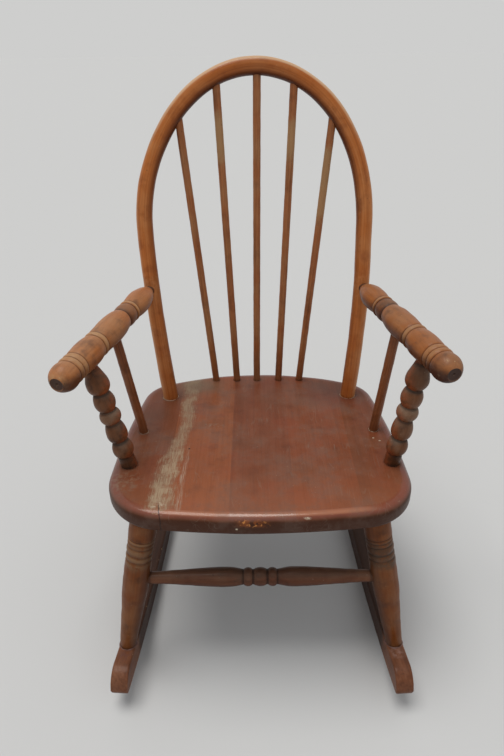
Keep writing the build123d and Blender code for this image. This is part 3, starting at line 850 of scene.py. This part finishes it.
# ---- finishes
def shade(red, green, blue):
    """Linear colour from the shade seen on a colour card, each part from 0 to 255."""
    parts = [level / 255 for level in (red, green, blue)]
    return (*(((part + 0.055) / 1.055) ** 2.4 for part in parts), 1)


RING_SPACING = 0.0031
BARE_WOOD = shade(192, 158, 118)
OLD_DIRT = shade(30, 22, 19)
DUST = shade(138, 122, 106)
PALE_NICK = shade(206, 190, 166)


class Finish(Tree):
    """A material whose colour, roughness and height in millimetres are built up in turn."""

    def __init__(self, name, plain_sockets=None):
        self.material = bpy.data.materials.new(name)
        self.material.use_nodes = True
        super().__init__(self.material.node_tree)
        self.shader = self.node_tree.nodes["Principled BSDF"]
        for socket, value in (plain_sockets or {}).items():
            self.shader.inputs[socket].default_value = value
        self.place = self.node("ShaderNodeTexCoord", output="Object")
        self.facing = self.node("ShaderNodeNewGeometry", output="Normal")
        self.coat = None

    def attribute(self, name, output):
        return self.node("ShaderNodeAttribute", output=output, attribute_name=name)

    def blend(self, factor, first, second):
        sockets = {0: factor, 6: first, 7: second}
        return self.node("ShaderNodeMix", sockets, output=2, data_type="RGBA")

    def paint(self, factor, colour):
        self.colour = self.blend(factor, self.colour, colour)

    def spot(self, place, size, softness=0.9):
        """1 inside an oval on the floor plan, in millimetres, fading to 0 at its edge."""
        east, north, _ = self.apart(self.place)
        east = (east * 1000 - place[0]) / size[0]
        north = (north * 1000 - place[1]) / size[1]
        return self.fade((east * east + north * north) ** 0.5, 1 - softness, 1)

    def scratches(self, turn, scale):
        """Fine broken lines in one direction across the floor plan."""
        sockets = {"Vector": self.place, "Rotation": (0, 0, turn), "Scale": (1, 0.09, 1)}
        turned = self.node("ShaderNodeMapping", sockets)
        lines = self.fade(abs(self.noise(turned, scale, 1.0) - 0.5), 0.002, 0.009)
        return lines * self.smooth(self.noise(self.place, 33, 2.0), 0.52, 0.62)

    def done(self):
        """Joins what was built up to the shader."""
        bump = self.node("ShaderNodeBump", {"Height": self.height, "Distance": 0.001}, "Normal")
        found = {"Base Color": self.colour, "Roughness": self.roughness, "Normal": bump}
        if self.coat is not None:
            found["Coat Weight"] = self.coat
        for socket, amount in found.items():
            self.node_tree.links.new(amount.socket, self.shader.inputs[socket])
        return self.material


class StainedWood(Finish):
    """Stained and varnished wood, laid along the grain that each piece carries."""

    def __init__(
        self, name, deep, usual, pale, gloss=0.42, streaking=0.22, blotching=0.35, wear=0.3,
        dust_and_sheen=0.0, grime=0.5, underside_shade=0.35, underside_shade_from=-0.15,
    ):
        varnish = {"Coat Weight": 0.1, "Coat Roughness": 0.14, "Specular IOR Level": 0.15}
        super().__init__(name, varnish)
        self.grain = self.attribute("grain", "Vector")
        self.relief = self.attribute("relief", "Fac")
        tone = self.attribute("tone", "Fac")
        wander = self.noise(self.grain, 26, 1.0, drawn_out=0.16)
        self.mottle = self.noise(self.place, 26, 3.0, 0.55)
        cloud = self.noise(self.vectors("ADD", self.place, (0.31, 0.17, 0.23)), 48, 3.0, 0.6)
        self.rub = self.noise(self.place, 170, 4.0, 0.65)
        self.fibres = self.noise(self.grain, 1500, 2.0, drawn_out=0.025)
        streaks = self.noise(self.grain, 210, 3.0, 0.6, drawn_out=0.035)
        pores = self.smooth(self.noise(self.grain, 1100, 1.0, drawn_out=0.06), 0.62, 0.72)

        # growth rings round the pith, which wanders along the piece
        flat_grain = self.vectors("MULTIPLY", self.grain, (1, 1, 0))
        from_pith = self.vectors("LENGTH", flat_grain, output="Value") + wander * 0.012
        rings = self.maths("SINE", from_pith * (tau / RING_SPACING)) * 0.5 + 0.5

        self.colour = self.blend(self.smooth(self.mottle, 0.36, 0.7) * 0.35, usual, pale)
        self.paint(self.smooth(cloud, 0.5, 0.74) * blotching, deep)
        self.paint(self.smooth(streaks, 0.46, 0.7) * streaking, deep)
        self.paint(self.fade(streaks, 0.3, 0.48) * (streaking * 0.7), pale)
        self.paint(self.smooth(rings, 0.35, 1.0) * (streaking * 0.3), deep)
        self.paint(self.smooth(self.fibres, 0.48, 0.74) * (streaking * 0.5), deep)
        self.paint(pores * (streaking * 0.6), deep)

        # bands that are darker or worn paler
        worn = self.smooth(tone + (self.rub - 0.5) * 0.9, 0.15, 0.85)
        self.paint(worn * 0.75, pale)
        self.paint(self.smooth(-tone, 0.0, 1.0) * 0.85, deep)

        # dust and a painted sheen on tops, dirt in grooves and joints, bare wood on the crests
        _, _, upward = self.apart(self.facing)
        # painted shade on faces that point down
        self.paint(self.smooth(-upward, underside_shade_from, underside_shade_from + 1.0) * underside_shade, deep)
        self.paint(self.smooth(-tone, 0.88, 0.96) * 0.24, DUST)
        settled = self.smooth(upward + (self.mottle - 0.5) * 0.8, 0.3, 0.95) * dust_and_sheen
        self.paint(settled, DUST)
        dirt = self.smooth((self.rub - 0.5) * 0.5 - self.relief, 0.28, 0.95)
        self.paint(dirt * grime, OLD_DIRT)
        chipped = self.relief * 0.3 + self.rub + (self.fibres - 0.5) * 0.25
        self.bare = self.smooth(chipped, 0.94 - wear * 0.16, 1.0 - wear * 0.12)
        self.paint(self.bare * 0.6, BARE_WOOD)
        sockets = {"Vector": self.place, "Scale": 120.0}
        crumbs = self.node("ShaderNodeTexVoronoi", sockets, "Distance")
        specks = self.fade(crumbs, 0.05, 0.1) * self.smooth(self.mottle, 0.45, 0.6)
        self.paint(specks * 0.15, PALE_NICK)
        knocks = self.smooth(self.noise(self.place, 420, 2.0), 0.7, 0.76)
        self.paint(knocks * 0.5, OLD_DIRT)

        self.roughness = (
            gloss + (self.mottle - 0.5) * 0.3 + dirt * 0.25 + self.bare * 0.2
            + settled * 0.25 + worn * 0.12 + (self.rub - 0.5) * 0.15
        )
        self.height = (
            self.fibres * 0.05 + streaks * 0.1 + self.rub * 0.12 - pores * 0.05
            - self.bare * 0.12 - knocks * 0.08 - dirt * self.rub * 0.1
        )


# the five boards of the seat, from the left
BOARD_STAINS = ((122, 68, 42), (139, 78, 47), (120, 66, 43), (126, 67, 40), (114, 63, 38))


def wear_left_side(wood):
    """The track worn along the left of the seat, with its crack, and the grime behind it."""
    east, north, _ = wood.apart(wood.place)
    east, north = east * 1000, north * 1000
    back_part = wood.smooth(north, -95, 5)
    far_back = wood.smooth(north, 30, 120)
    front_part = wood.fade(north, -95, -15)
    drift = (wood.noise(wood.place, 22, 2.0) - 0.5) * 9
    away = (east + 108 - 12 * back_part + drift) / (21 - 8 * back_part + 6 * far_back)
    strands = wood.noise(wood.grain, 950, 4.0, 0.7, drawn_out=0.05)
    patches = wood.noise(wood.place, 75, 3.0, 0.6)
    _, _, upward = wood.apart(wood.facing)
    on_top = wood.smooth(north, -158, -148) * wood.smooth(upward, 0.55, 0.9)
    inside = wood.fade(abs(away), 0.15, 1.25) * on_top
    thinned = inside * 0.6 + (strands - 0.5) * 2.3 + (patches - 0.5) * 1.2
    hazed = wood.smooth(inside * 0.8 + (patches - 0.5) * 0.8, 0.25, 0.85)
    wood.paint(hazed * 0.42, shade(150, 122, 96))
    track = wood.smooth(thinned, 0.3, 0.8) * wood.smooth(inside, 0.02, 0.3)
    wood.paint(track * (0.48 + 0.24 * front_part), shade(176, 156, 128))
    rim = wood.fade(abs(away - 0.95), 0.03, 0.2) * front_part * on_top
    wood.paint(rim * wood.smooth(strands, 0.42, 0.6) * 0.55, shade(178, 166, 146))
    behind = wood.spot((-84, 114), (48, 34)) * (0.45 + 0.35 * strands) * on_top
    wood.paint(behind, shade(112, 98, 80))
    wood.paint(wood.spot((-150, 40), (50, 90)) * 0.4, shade(88, 62, 54))
    scuffed = wood.smooth(wood.rub, 0.45, 0.6)
    wood.paint(wood.spot((-60, 8), (20, 9)) * scuffed * 0.5, DUST)
    wood.paint(wood.spot((-154, -102), (27, 28)) * scuffed * 0.5, shade(150, 122, 98))
    wood.paint(wood.spot((-113, -142), (13, 8)) * scuffed * 0.9, PALE_NICK)
    wood.paint(wood.spot((-86, -41), (1.6, 1.6), 0.6), OLD_DIRT)
    beside = abs(east + 111.3 + (north + 139.6) * 0.197 + (wood.rub - 0.5) * 3)
    crack = wood.fade(beside, 0.15, 0.6) * wood.fade(north, -146, -136)
    crack = crack * (0.35 + 0.65 * wood.smooth(north, -164, -158))
    wood.paint(crack * 0.85, OLD_DIRT)
    wood.roughness = wood.roughness + track * 0.25
    wood.height = wood.height - track * strands * 0.35 - crack * 0.6


def board_wood(number, stain):
    """The finish of one board of the seat, with the marks that lie on it."""
    edge_polish = 0.95 if number == 3 else 0.5
    wood = StainedWood(
        f"seat board {number}", shade(70, 41, 32), shade(*stain), shade(144, 98, 76),
        streaking=0.15, blotching=0.28, wear=0.2, grime=0.8, underside_shade=0.6,
    )
    east, north, _ = wood.apart(wood.place)
    clouds = wood.noise(wood.place, 19, 3.0, 0.6)
    wood.paint(wood.smooth(clouds, 0.48, 0.7) * 0.3, shade(96, 64, 46))
    wood.paint(wood.fade(clouds, 0.32, 0.5) * 0.2, shade(142, 68, 44))
    wood.paint(wood.fade(north * 1000, -155, -60) * 0.3, shade(168, 104, 74))
    edge = wood.smooth(wood.relief, 0.1, 0.6) * (1 - wood.bare)
    wood.paint(edge * 0.5, shade(118, 50, 36))
    from_middle = wood.vectors("SUBTRACT", wood.place, tuple(SEAT_MIDDLE * MM))
    height = wood.vectors("DOT_PRODUCT", from_middle, tuple(SEAT_UP), output="Value") * 1000
    # painted shade: the front edge darkens towards the underside
    low_edge_shade = wood.fade(height + (wood.mottle - 0.5) * 4, -7.2, -1.2)
    wood.paint(low_edge_shade * 0.88, shade(52, 25, 9))
    # the upper rounding of the front edge, worn paler, with a painted highlight along it
    worn_edge_and_highlight = wood.smooth(wood.relief, 0.25, 0.6) * wood.smooth(height, -2.4, -0.8)
    in_front = wood.fade(north, -0.14, -0.11) * wood.fade(abs(east), 0.1, 0.14)
    wood.paint(worn_edge_and_highlight * in_front * 0.36, shade(208, 142, 100))
    upper_edge = wood.smooth(wood.relief, 0.05, 0.4) * wood.smooth(height, -6.5, -2.5)
    wood.coat = 0.06 + upper_edge * edge_polish
    scratched = wood.scratches(0.5, 60) + wood.scratches(-1.1, 75) + wood.scratches(1.5, 52)
    wood.paint(scratched * 0.15, DUST)
    greyed = wood.smooth(wood.mottle + wood.rub * 0.5, 0.7, 0.95)
    wood.paint(greyed * 0.3, shade(104, 84, 74))
    if number <= 2:
        wear_left_side(wood)
    if number >= 4:
        wood.paint(wood.spot((108, 96), (66, 62)) * 0.45, shade(72, 50, 46))
    if number == 3:
        band = wood.smooth(height, -14, -9) * wood.fade(height, -4.5, -2.5)
        flaked = wood.spot((-9, -167), (24, 9)) * band
        wood.paint(flaked * wood.smooth(wood.rub, 0.42, 0.56) * 0.5, shade(166, 88, 34))
        flecks = wood.smooth(wood.noise(wood.place, 330, 2.0), 0.56, 0.62)
        wood.paint(flaked * flecks * 0.8, shade(226, 150, 78))
        nick = wood.spot((-25, -166), (1.5, 4), 0.6) * wood.fade(abs(height + 15), 0.5, 1.4)
        wood.paint(nick, PALE_NICK)
    if number == 4:
        nick = wood.spot((50.5, -162), (5.5, 1.5)) * wood.smooth(wood.fibres, 0.4, 0.56)
        wood.paint(nick, PALE_NICK)
    if number == 5:
        for place in ((145, -22), (152, -28)):
            wood.paint(wood.spot(place, (1.8, 1.2), 0.6) * 0.8, PALE_NICK)
    return wood.done()


def inner_side(wood):
    """From -1 on the outer side of the hoop to 1 on the side that faces the spindles."""
    middle = on_hoop(0, HOOP_WIDEST_RISE)
    outward = wood.vectors("SUBTRACT", wood.place, tuple(middle * MM))
    outward = wood.vectors("MAXIMUM", outward, (-10, -10, 0))
    outward = wood.vectors("NORMALIZE", outward)
    return wood.vectors("DOT_PRODUCT", outward, wood.facing, output="Value") * -1


# the hoop, with painted shade inside the bend of its crown and a painted highlight outside it
hoop_wood = StainedWood(
    "hoop wood", shade(116, 50, 16), shade(188, 108, 48), shade(208, 146, 92), gloss=0.38,
    streaking=0.36, blotching=0.4, underside_shade=0.2, grime=0.6,
)
inner = inner_side(hoop_wood)
_, _, height = hoop_wood.apart(hoop_wood.place)
near_crown = hoop_wood.smooth(height, 0.42, 0.62)
# painted shade on the inner side of the hoop, most near the crown
hoop_inner_shade = hoop_wood.smooth(inner, 0.22, 0.88) * (0.25 + 0.65 * near_crown)
hoop_wood.paint(hoop_inner_shade, shade(64, 30, 18))
# painted highlight along the outer side, strongest on top of the crown
hoop_wood.paint(hoop_wood.smooth(-inner, 0.65, 1.0) * 0.35, shade(206, 158, 112))
crown_highlight = hoop_wood.smooth(-inner, 0.56, 0.78) * hoop_wood.smooth(height, 0.54, 0.63)
hoop_wood.paint(crown_highlight * 0.62, shade(224, 190, 152))
hoop_finish = hoop_wood.done()
spindle_finish = StainedWood(
    "spindle wood", shade(88, 50, 30), shade(172, 104, 60), shade(178, 140, 98), streaking=0.45
).done()
side_spindle_finish = StainedWood(
    "side spindle wood", shade(66, 34, 18), shade(138, 80, 46), shade(150, 102, 72),
    streaking=0.45,
).done()


def arm_wood(wood):
    """Adds painted shade under the grip at the front of an arm."""
    _, north, _ = wood.apart(wood.place)
    _, _, upward = wood.apart(wood.facing)
    grip_underside_shade = wood.smooth(-upward, -0.7, 0.1) * wood.smooth(-north, 0.08, 0.106)
    wood.paint(grip_underside_shade * 0.65, shade(50, 30, 26))
    return wood.done()


arm_finishes = {
    "left": arm_wood(StainedWood(
        "left arm wood", shade(82, 48, 32), shade(184, 110, 56), shade(196, 150, 104),
        blotching=0.6, wear=0.2, dust_and_sheen=0.26, underside_shade=0.65, underside_shade_from=-0.55,
    )),
    "right": arm_wood(StainedWood(
        "right arm wood", shade(60, 32, 26), shade(160, 92, 40), shade(170, 124, 84), gloss=0.4,
        blotching=0.6, wear=0.1, dust_and_sheen=0.18, underside_shade=0.75, underside_shade_from=-0.6,
    )),
}


def post_wood():
    """Posts: painted light from the seat on the inner side, dust and painted sheen atop each bead.
    """
    wood = StainedWood(
        "post wood", shade(48, 29, 19), shade(110, 67, 38), shade(142, 114, 92),
        streaking=0.25, blotching=0.75, wear=0.4, dust_and_sheen=0.6, grime=0.4, underside_shade=0.2,
    )
    east, _, _ = wood.apart(wood.place)
    eastward, _, upward = wood.apart(wood.facing)
    # painted reflection: warm light thrown back from the seat onto the inner, lower faces
    inward = east * eastward * (-1 / 0.18)
    seat_bounce_light = wood.smooth(inward - upward * 0.5, 0.15, 0.85) * wood.smooth(wood.rub, 0.35, 0.6)
    wood.paint(seat_bounce_light * 0.55, shade(158, 78, 40))
    return wood.done()


def leg_wood():
    """Legs, with painted shade on the side that faces the other leg, and grimy among their rings.
    """
    wood = StainedWood(
        "leg wood", shade(50, 27, 13), shade(114, 58, 15), shade(142, 104, 72), gloss=0.44,
        blotching=0.5,
    )
    east, _, height = wood.apart(wood.place)
    on_right = wood.smooth(east, -0.01, 0.01)
    among_rings = wood.smooth(height, 0.162, 0.171) * wood.fade(height, 0.196, 0.208)
    grimy = among_rings * wood.smooth(wood.rub, 0.28, 0.56) * (0.36 + 0.28 * on_right)
    wood.paint(grimy, wood.blend(on_right, shade(112, 92, 68), shade(66, 54, 42)))
    eastward, _, _ = wood.apart(wood.facing)
    inward = east * eastward * (-1 / 0.14)
    # painted shade on the side that faces the other leg
    wood.paint(wood.smooth(inward, 0.1, 0.95) * 0.6, shade(46, 25, 14))
    return wood.done()


def rocker_wood():
    """Rockers, smeared with filler where the front legs stand on them."""
    wood = StainedWood(
        "rocker wood", shade(36, 22, 16), shade(112, 66, 42), shade(140, 98, 74), gloss=0.5,
        streaking=0.3, wear=0.1, blotching=0.25, grime=0.8,
    )
    smears = {"left": shade(88, 62, 58), "right": shade(156, 122, 110)}
    for side_name, side in SIDES.items():
        foot = leg_foot("front", side) - (0, 16, 0)
        smear = wood.spot(foot[:2], (12, 13), 0.8) * wood.smooth(wood.rub, 0.35, 0.6)
        wood.paint(smear * 0.55, smears[side_name])
    return wood.done()


post_finish = post_wood()
leg_finish = leg_wood()
rocker_finish = rocker_wood()
stretcher_finish = StainedWood(
    "stretcher wood", shade(38, 22, 14), shade(88, 46, 26), shade(120, 78, 54), gloss=0.5,
    streaking=0.3, dust_and_sheen=0.15, underside_shade=0.65,
).done()


def plain(name, colour, roughness, metallic=0.0):
    """Metal, hardened glue or putty, with slight unevenness."""
    finish = Finish(name, {"Metallic": metallic})
    cloud = finish.noise(finish.place, 60 if metallic else 300, 3.0)
    darker = (*(part * 0.7 for part in colour[:3]), 1)
    finish.colour = finish.blend(finish.smooth(cloud, 0.35, 0.65), darker, colour)
    finish.roughness = roughness + (cloud - 0.5) * 0.2
    finish.height = cloud * 0.08
    return finish.done()


steel_finish = plain("old screw steel", shade(128, 124, 118), 0.38, metallic=1.0)
glue_finish = plain("dried glue", shade(146, 116, 92), 0.45)
putty_finish = plain("dark putty", shade(112, 76, 66), 0.55)

# ---- pieces
whole_seat = seat_mesh()
boards = zip(pairwise((None, *GLUE_LINES, None)), PLANKS, BOARD_STAINS)
for number, ((low, high), plank, stain) in enumerate(boards, start=1):
    board = parted_board(whole_seat, f"seat_board_{number}_worn", low, high, plank)
    add_piece(board, "seat_wood", board_wood(number, stain), f"seat_board_{number}")
bpy.data.meshes.remove(whole_seat)

hoop = bent_rod(hoop_finish).grown("bent_hoop", hoop_path(), {})
add_piece(hoop, "hoop_wood", hoop_finish, "hoop")


def add_spindle(rod, name, ends, sizes, node):
    """Shows a plain spindle between two places in place of a CAD node."""
    foot, top = (tuple(place * MM) for place in ends)
    mesh = rod.grown(name, bpy.data.meshes.new("line"), {"Foot": foot, "Top": top} | sizes)
    add_piece(mesh, "spindle_wood", rod.finish, node)


spindle_rod = plain_spindle(spindle_finish)
side_spindle_rod = plain_spindle(side_spindle_finish)
SPINDLE_WEAR = {2: (0.77, 0.9), 4: (0.78, 0.88), 5: (0.66, 0.88)}
for number, ends in enumerate(spindle_axes(), start=1):
    worn = dict(zip(("Worn from", "Worn to"), SPINDLE_WEAR.get(number, ())))
    sizes = {"Seed": float(number)} | worn
    add_spindle(spindle_rod, f"spindle_{number}", ends, sizes, f"back_spindle_{number}")

for side_name, side in SIDES.items():
    mesh = turned_mesh(
        f"turned_arm_{side_name}", ARM_OUTLINE, arm_axis(side), ARM_DIAMETER, 31 + side,
        ARM_TONES if side < 0 else RIGHT_ARM_TONES, grime=(HOOP_DIAMETER / 2, -inf), around=72,
    )
    add_piece(mesh, "arm_wood", arm_finishes[side_name], f"arm_{side_name}")
    mesh = turned_mesh(
        f"beaded_post_{side_name}", POST_OUTLINE, post_axis(side), POST_DIAMETER, 41 + side,
        POST_TONES if side < 0 else RIGHT_POST_TONES, grime=(0, ARM_DIAMETER / 2),
    )
    add_piece(mesh, "post_wood", post_finish, f"arm_post_{side_name}")
    side_foot, side_top = side_spindle_axis(side)
    up = unit(side_top - side_foot)
    add_spindle(
        side_spindle_rod, f"plain_side_spindle_{side_name}",
        (side_foot - SIDE_SPINDLE_SUNK * up, side_top - SIDE_SPINDLE_SHORT * up),
        {"Diameter": SIDE_SPINDLE_DIAMETER * MM, "Top share": 0.95, "Seed": 7.0 + side},
        f"side_spindle_{side_name}",
    )
    for seed, end_name in ((61, "front"), (71, "rear")):
        foot = leg_foot(end_name, side)
        mesh = turned_mesh(
            f"turned_{end_name}_leg_{side_name}", LEG_OUTLINE, (foot, leg_top(end_name, side)),
            LEG_DIAMETER, seed + side, LEG_TONES if side < 0 else RIGHT_LEG_TONES, around=64,
        )
        add_piece(mesh, "leg_wood", leg_finish, f"{end_name}_leg_{side_name}")
        slope = LEG_FEET[end_name] / ROCKER_RADIUS
        _, along, _ = rocker_frame(side)
        rocker_up = unit(np.array([0, 0, cos(slope)]) - along * sin(slope))
        squeezed_ring(
            f"putty_{end_name}_{side_name}", foot, rocker_up, LEG_DIAMETER * LEG_OUTLINE[0][1] / 2,
            width=2.0, height=1.6, seed=seed + side, slot="leg_wood", finish=putty_finish,
        )
    mesh = rocker_mesh(f"sawn_rocker_{side_name}", side, 2 + side)
    add_piece(mesh, "rocker_wood", rocker_finish, f"rocker_{side_name}")
    for name, place, radius in (
        ("hoop", hoop_foot(side), HOOP_DIAMETER / 2),
        ("side_spindle", side_foot, SIDE_SPINDLE_DIAMETER / 2),
    ):
        squeezed_ring(
            f"glue_{name}_{side_name}", place, SEAT_UP, radius, width=0.9, height=0.5,
            seed=90 + side + radius, slot="seat_wood", finish=glue_finish,
        )

stretchers = ((81, "front", FRONT_STRETCHER_OUTLINE), (91, "rear", REAR_STRETCHER_OUTLINE))
for seed, end_name, outline in stretchers:
    ends = [leg_at_stretcher(end_name, way) - ACROSS * way * LEG_DIAMETER / 2 for way in (-1, 1)]
    mesh = turned_mesh(
        f"turned_{end_name}_stretcher", both_ways(outline), ends, STRETCHER_DIAMETERS[end_name],
        seed, STRETCHER_TONES, around=48,
    )
    add_piece(mesh, "stretcher_wood", stretcher_finish, f"{end_name}_stretcher")

for node_name, finish in (("arm_screws", steel_finish), ("rocker_pegs", leg_finish)):
    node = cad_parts[node_name]
    node.data.materials.clear()
    node.data.materials.append(finish)

# ---- floor, light and camera
FLOOR_HALF = 9
FLOOR_PAINT = (0.64, 0.64, 0.635, 1)
BACKDROP = (0.617, 0.617, 0.61, 1)

floor_mesh = bpy.data.meshes.new("floor")
corners = [(x * FLOOR_HALF, y * FLOOR_HALF, 0) for x, y in ((-1, -1), (1, -1), (1, 1), (-1, 1))]
floor_mesh.from_pydata(corners, [], [(0, 1, 2, 3)])
floor = new_object("floor", floor_mesh)
floor_paint = bpy.data.materials.new("floor paint")
floor_paint.use_nodes = True
floor_look = {"Base Color": FLOOR_PAINT, "Roughness": 0.9, "Specular IOR Level": 0.1}
for socket, value in floor_look.items():
    floor_paint.node_tree.nodes["Principled BSDF"].inputs[socket].default_value = value
floor_mesh.materials.append(floor_paint)
floor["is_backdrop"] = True

# the room lights the chair evenly, and looks the same pale grey as the floor
room = bpy.data.worlds.new("soft room")
bpy.context.scene.world = room
room.use_nodes = True
sky = Tree(room.node_tree)
room_light = room.node_tree.nodes["Background"]
room_light.inputs["Color"].default_value = (0.97, 0.985, 1.0, 1)
room_light.inputs["Strength"].default_value = 0.48
path = sky.node("ShaderNodeLightPath", output="Is Camera Ray")
seen = path + path.part("Is Glossy Ray") + path.part("Is Transmission Ray")
backdrop = sky.node("ShaderNodeBackground", {"Color": BACKDROP, "Strength": 1.0})
mixed = {0: sky.maths("MINIMUM", seen, 1), 1: Amount(sky, room_light, 0), 2: backdrop}
shown = sky.node("ShaderNodeMixShader", mixed)
room.node_tree.links.new(shown.socket, room.node_tree.nodes["World Output"].inputs["Surface"])

lamp = bpy.data.lights.new("overhead diffuser", "SUN")
lamp.angle = radians(36)
lamp.energy = 1.6
lamp.color = (1.0, 0.985, 0.96)
holder = new_object("overhead diffuser", lamp)
holder.rotation_euler = Vector((-0.2, 0.1, 1.0)).to_track_quat("Z", "Y").to_euler()

CAMERA_PLACE = (-0.0032, -0.608, 0.716)
CAMERA_PITCH = radians(32.96)
CAMERA_YAW = radians(-0.4)
CAMERA_ROLL = radians(-0.82)
CAMERA_LENS = 28.14

# pitched down from level, then rolled about the line of sight
level_ahead = Vector((sin(CAMERA_YAW), cos(CAMERA_YAW), 0))
ahead = level_ahead * cos(CAMERA_PITCH) - Vector((0, 0, sin(CAMERA_PITCH)))
level_right = Vector((cos(CAMERA_YAW), -sin(CAMERA_YAW), 0))
level_up = level_right.cross(ahead)
right_way = level_right * cos(CAMERA_ROLL) + level_up * sin(CAMERA_ROLL)
up_way = level_up * cos(CAMERA_ROLL) - level_right * sin(CAMERA_ROLL)
camera_data = bpy.data.cameras.new("camera")
camera_data.sensor_width = 36
camera_data.lens = CAMERA_LENS
camera = new_object("camera", camera_data)
turn = Matrix((right_way, up_way, -ahead)).transposed().to_4x4()
camera.matrix_world = Matrix.Translation(CAMERA_PLACE) @ turn
bpy.context.scene.camera = camera

bpy.context.scene.view_settings.view_transform = "Standard"

sizes = {
    "cad": [list(corner) for corner in cad_bounds],
    "visual": [list(corner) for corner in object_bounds()],
}
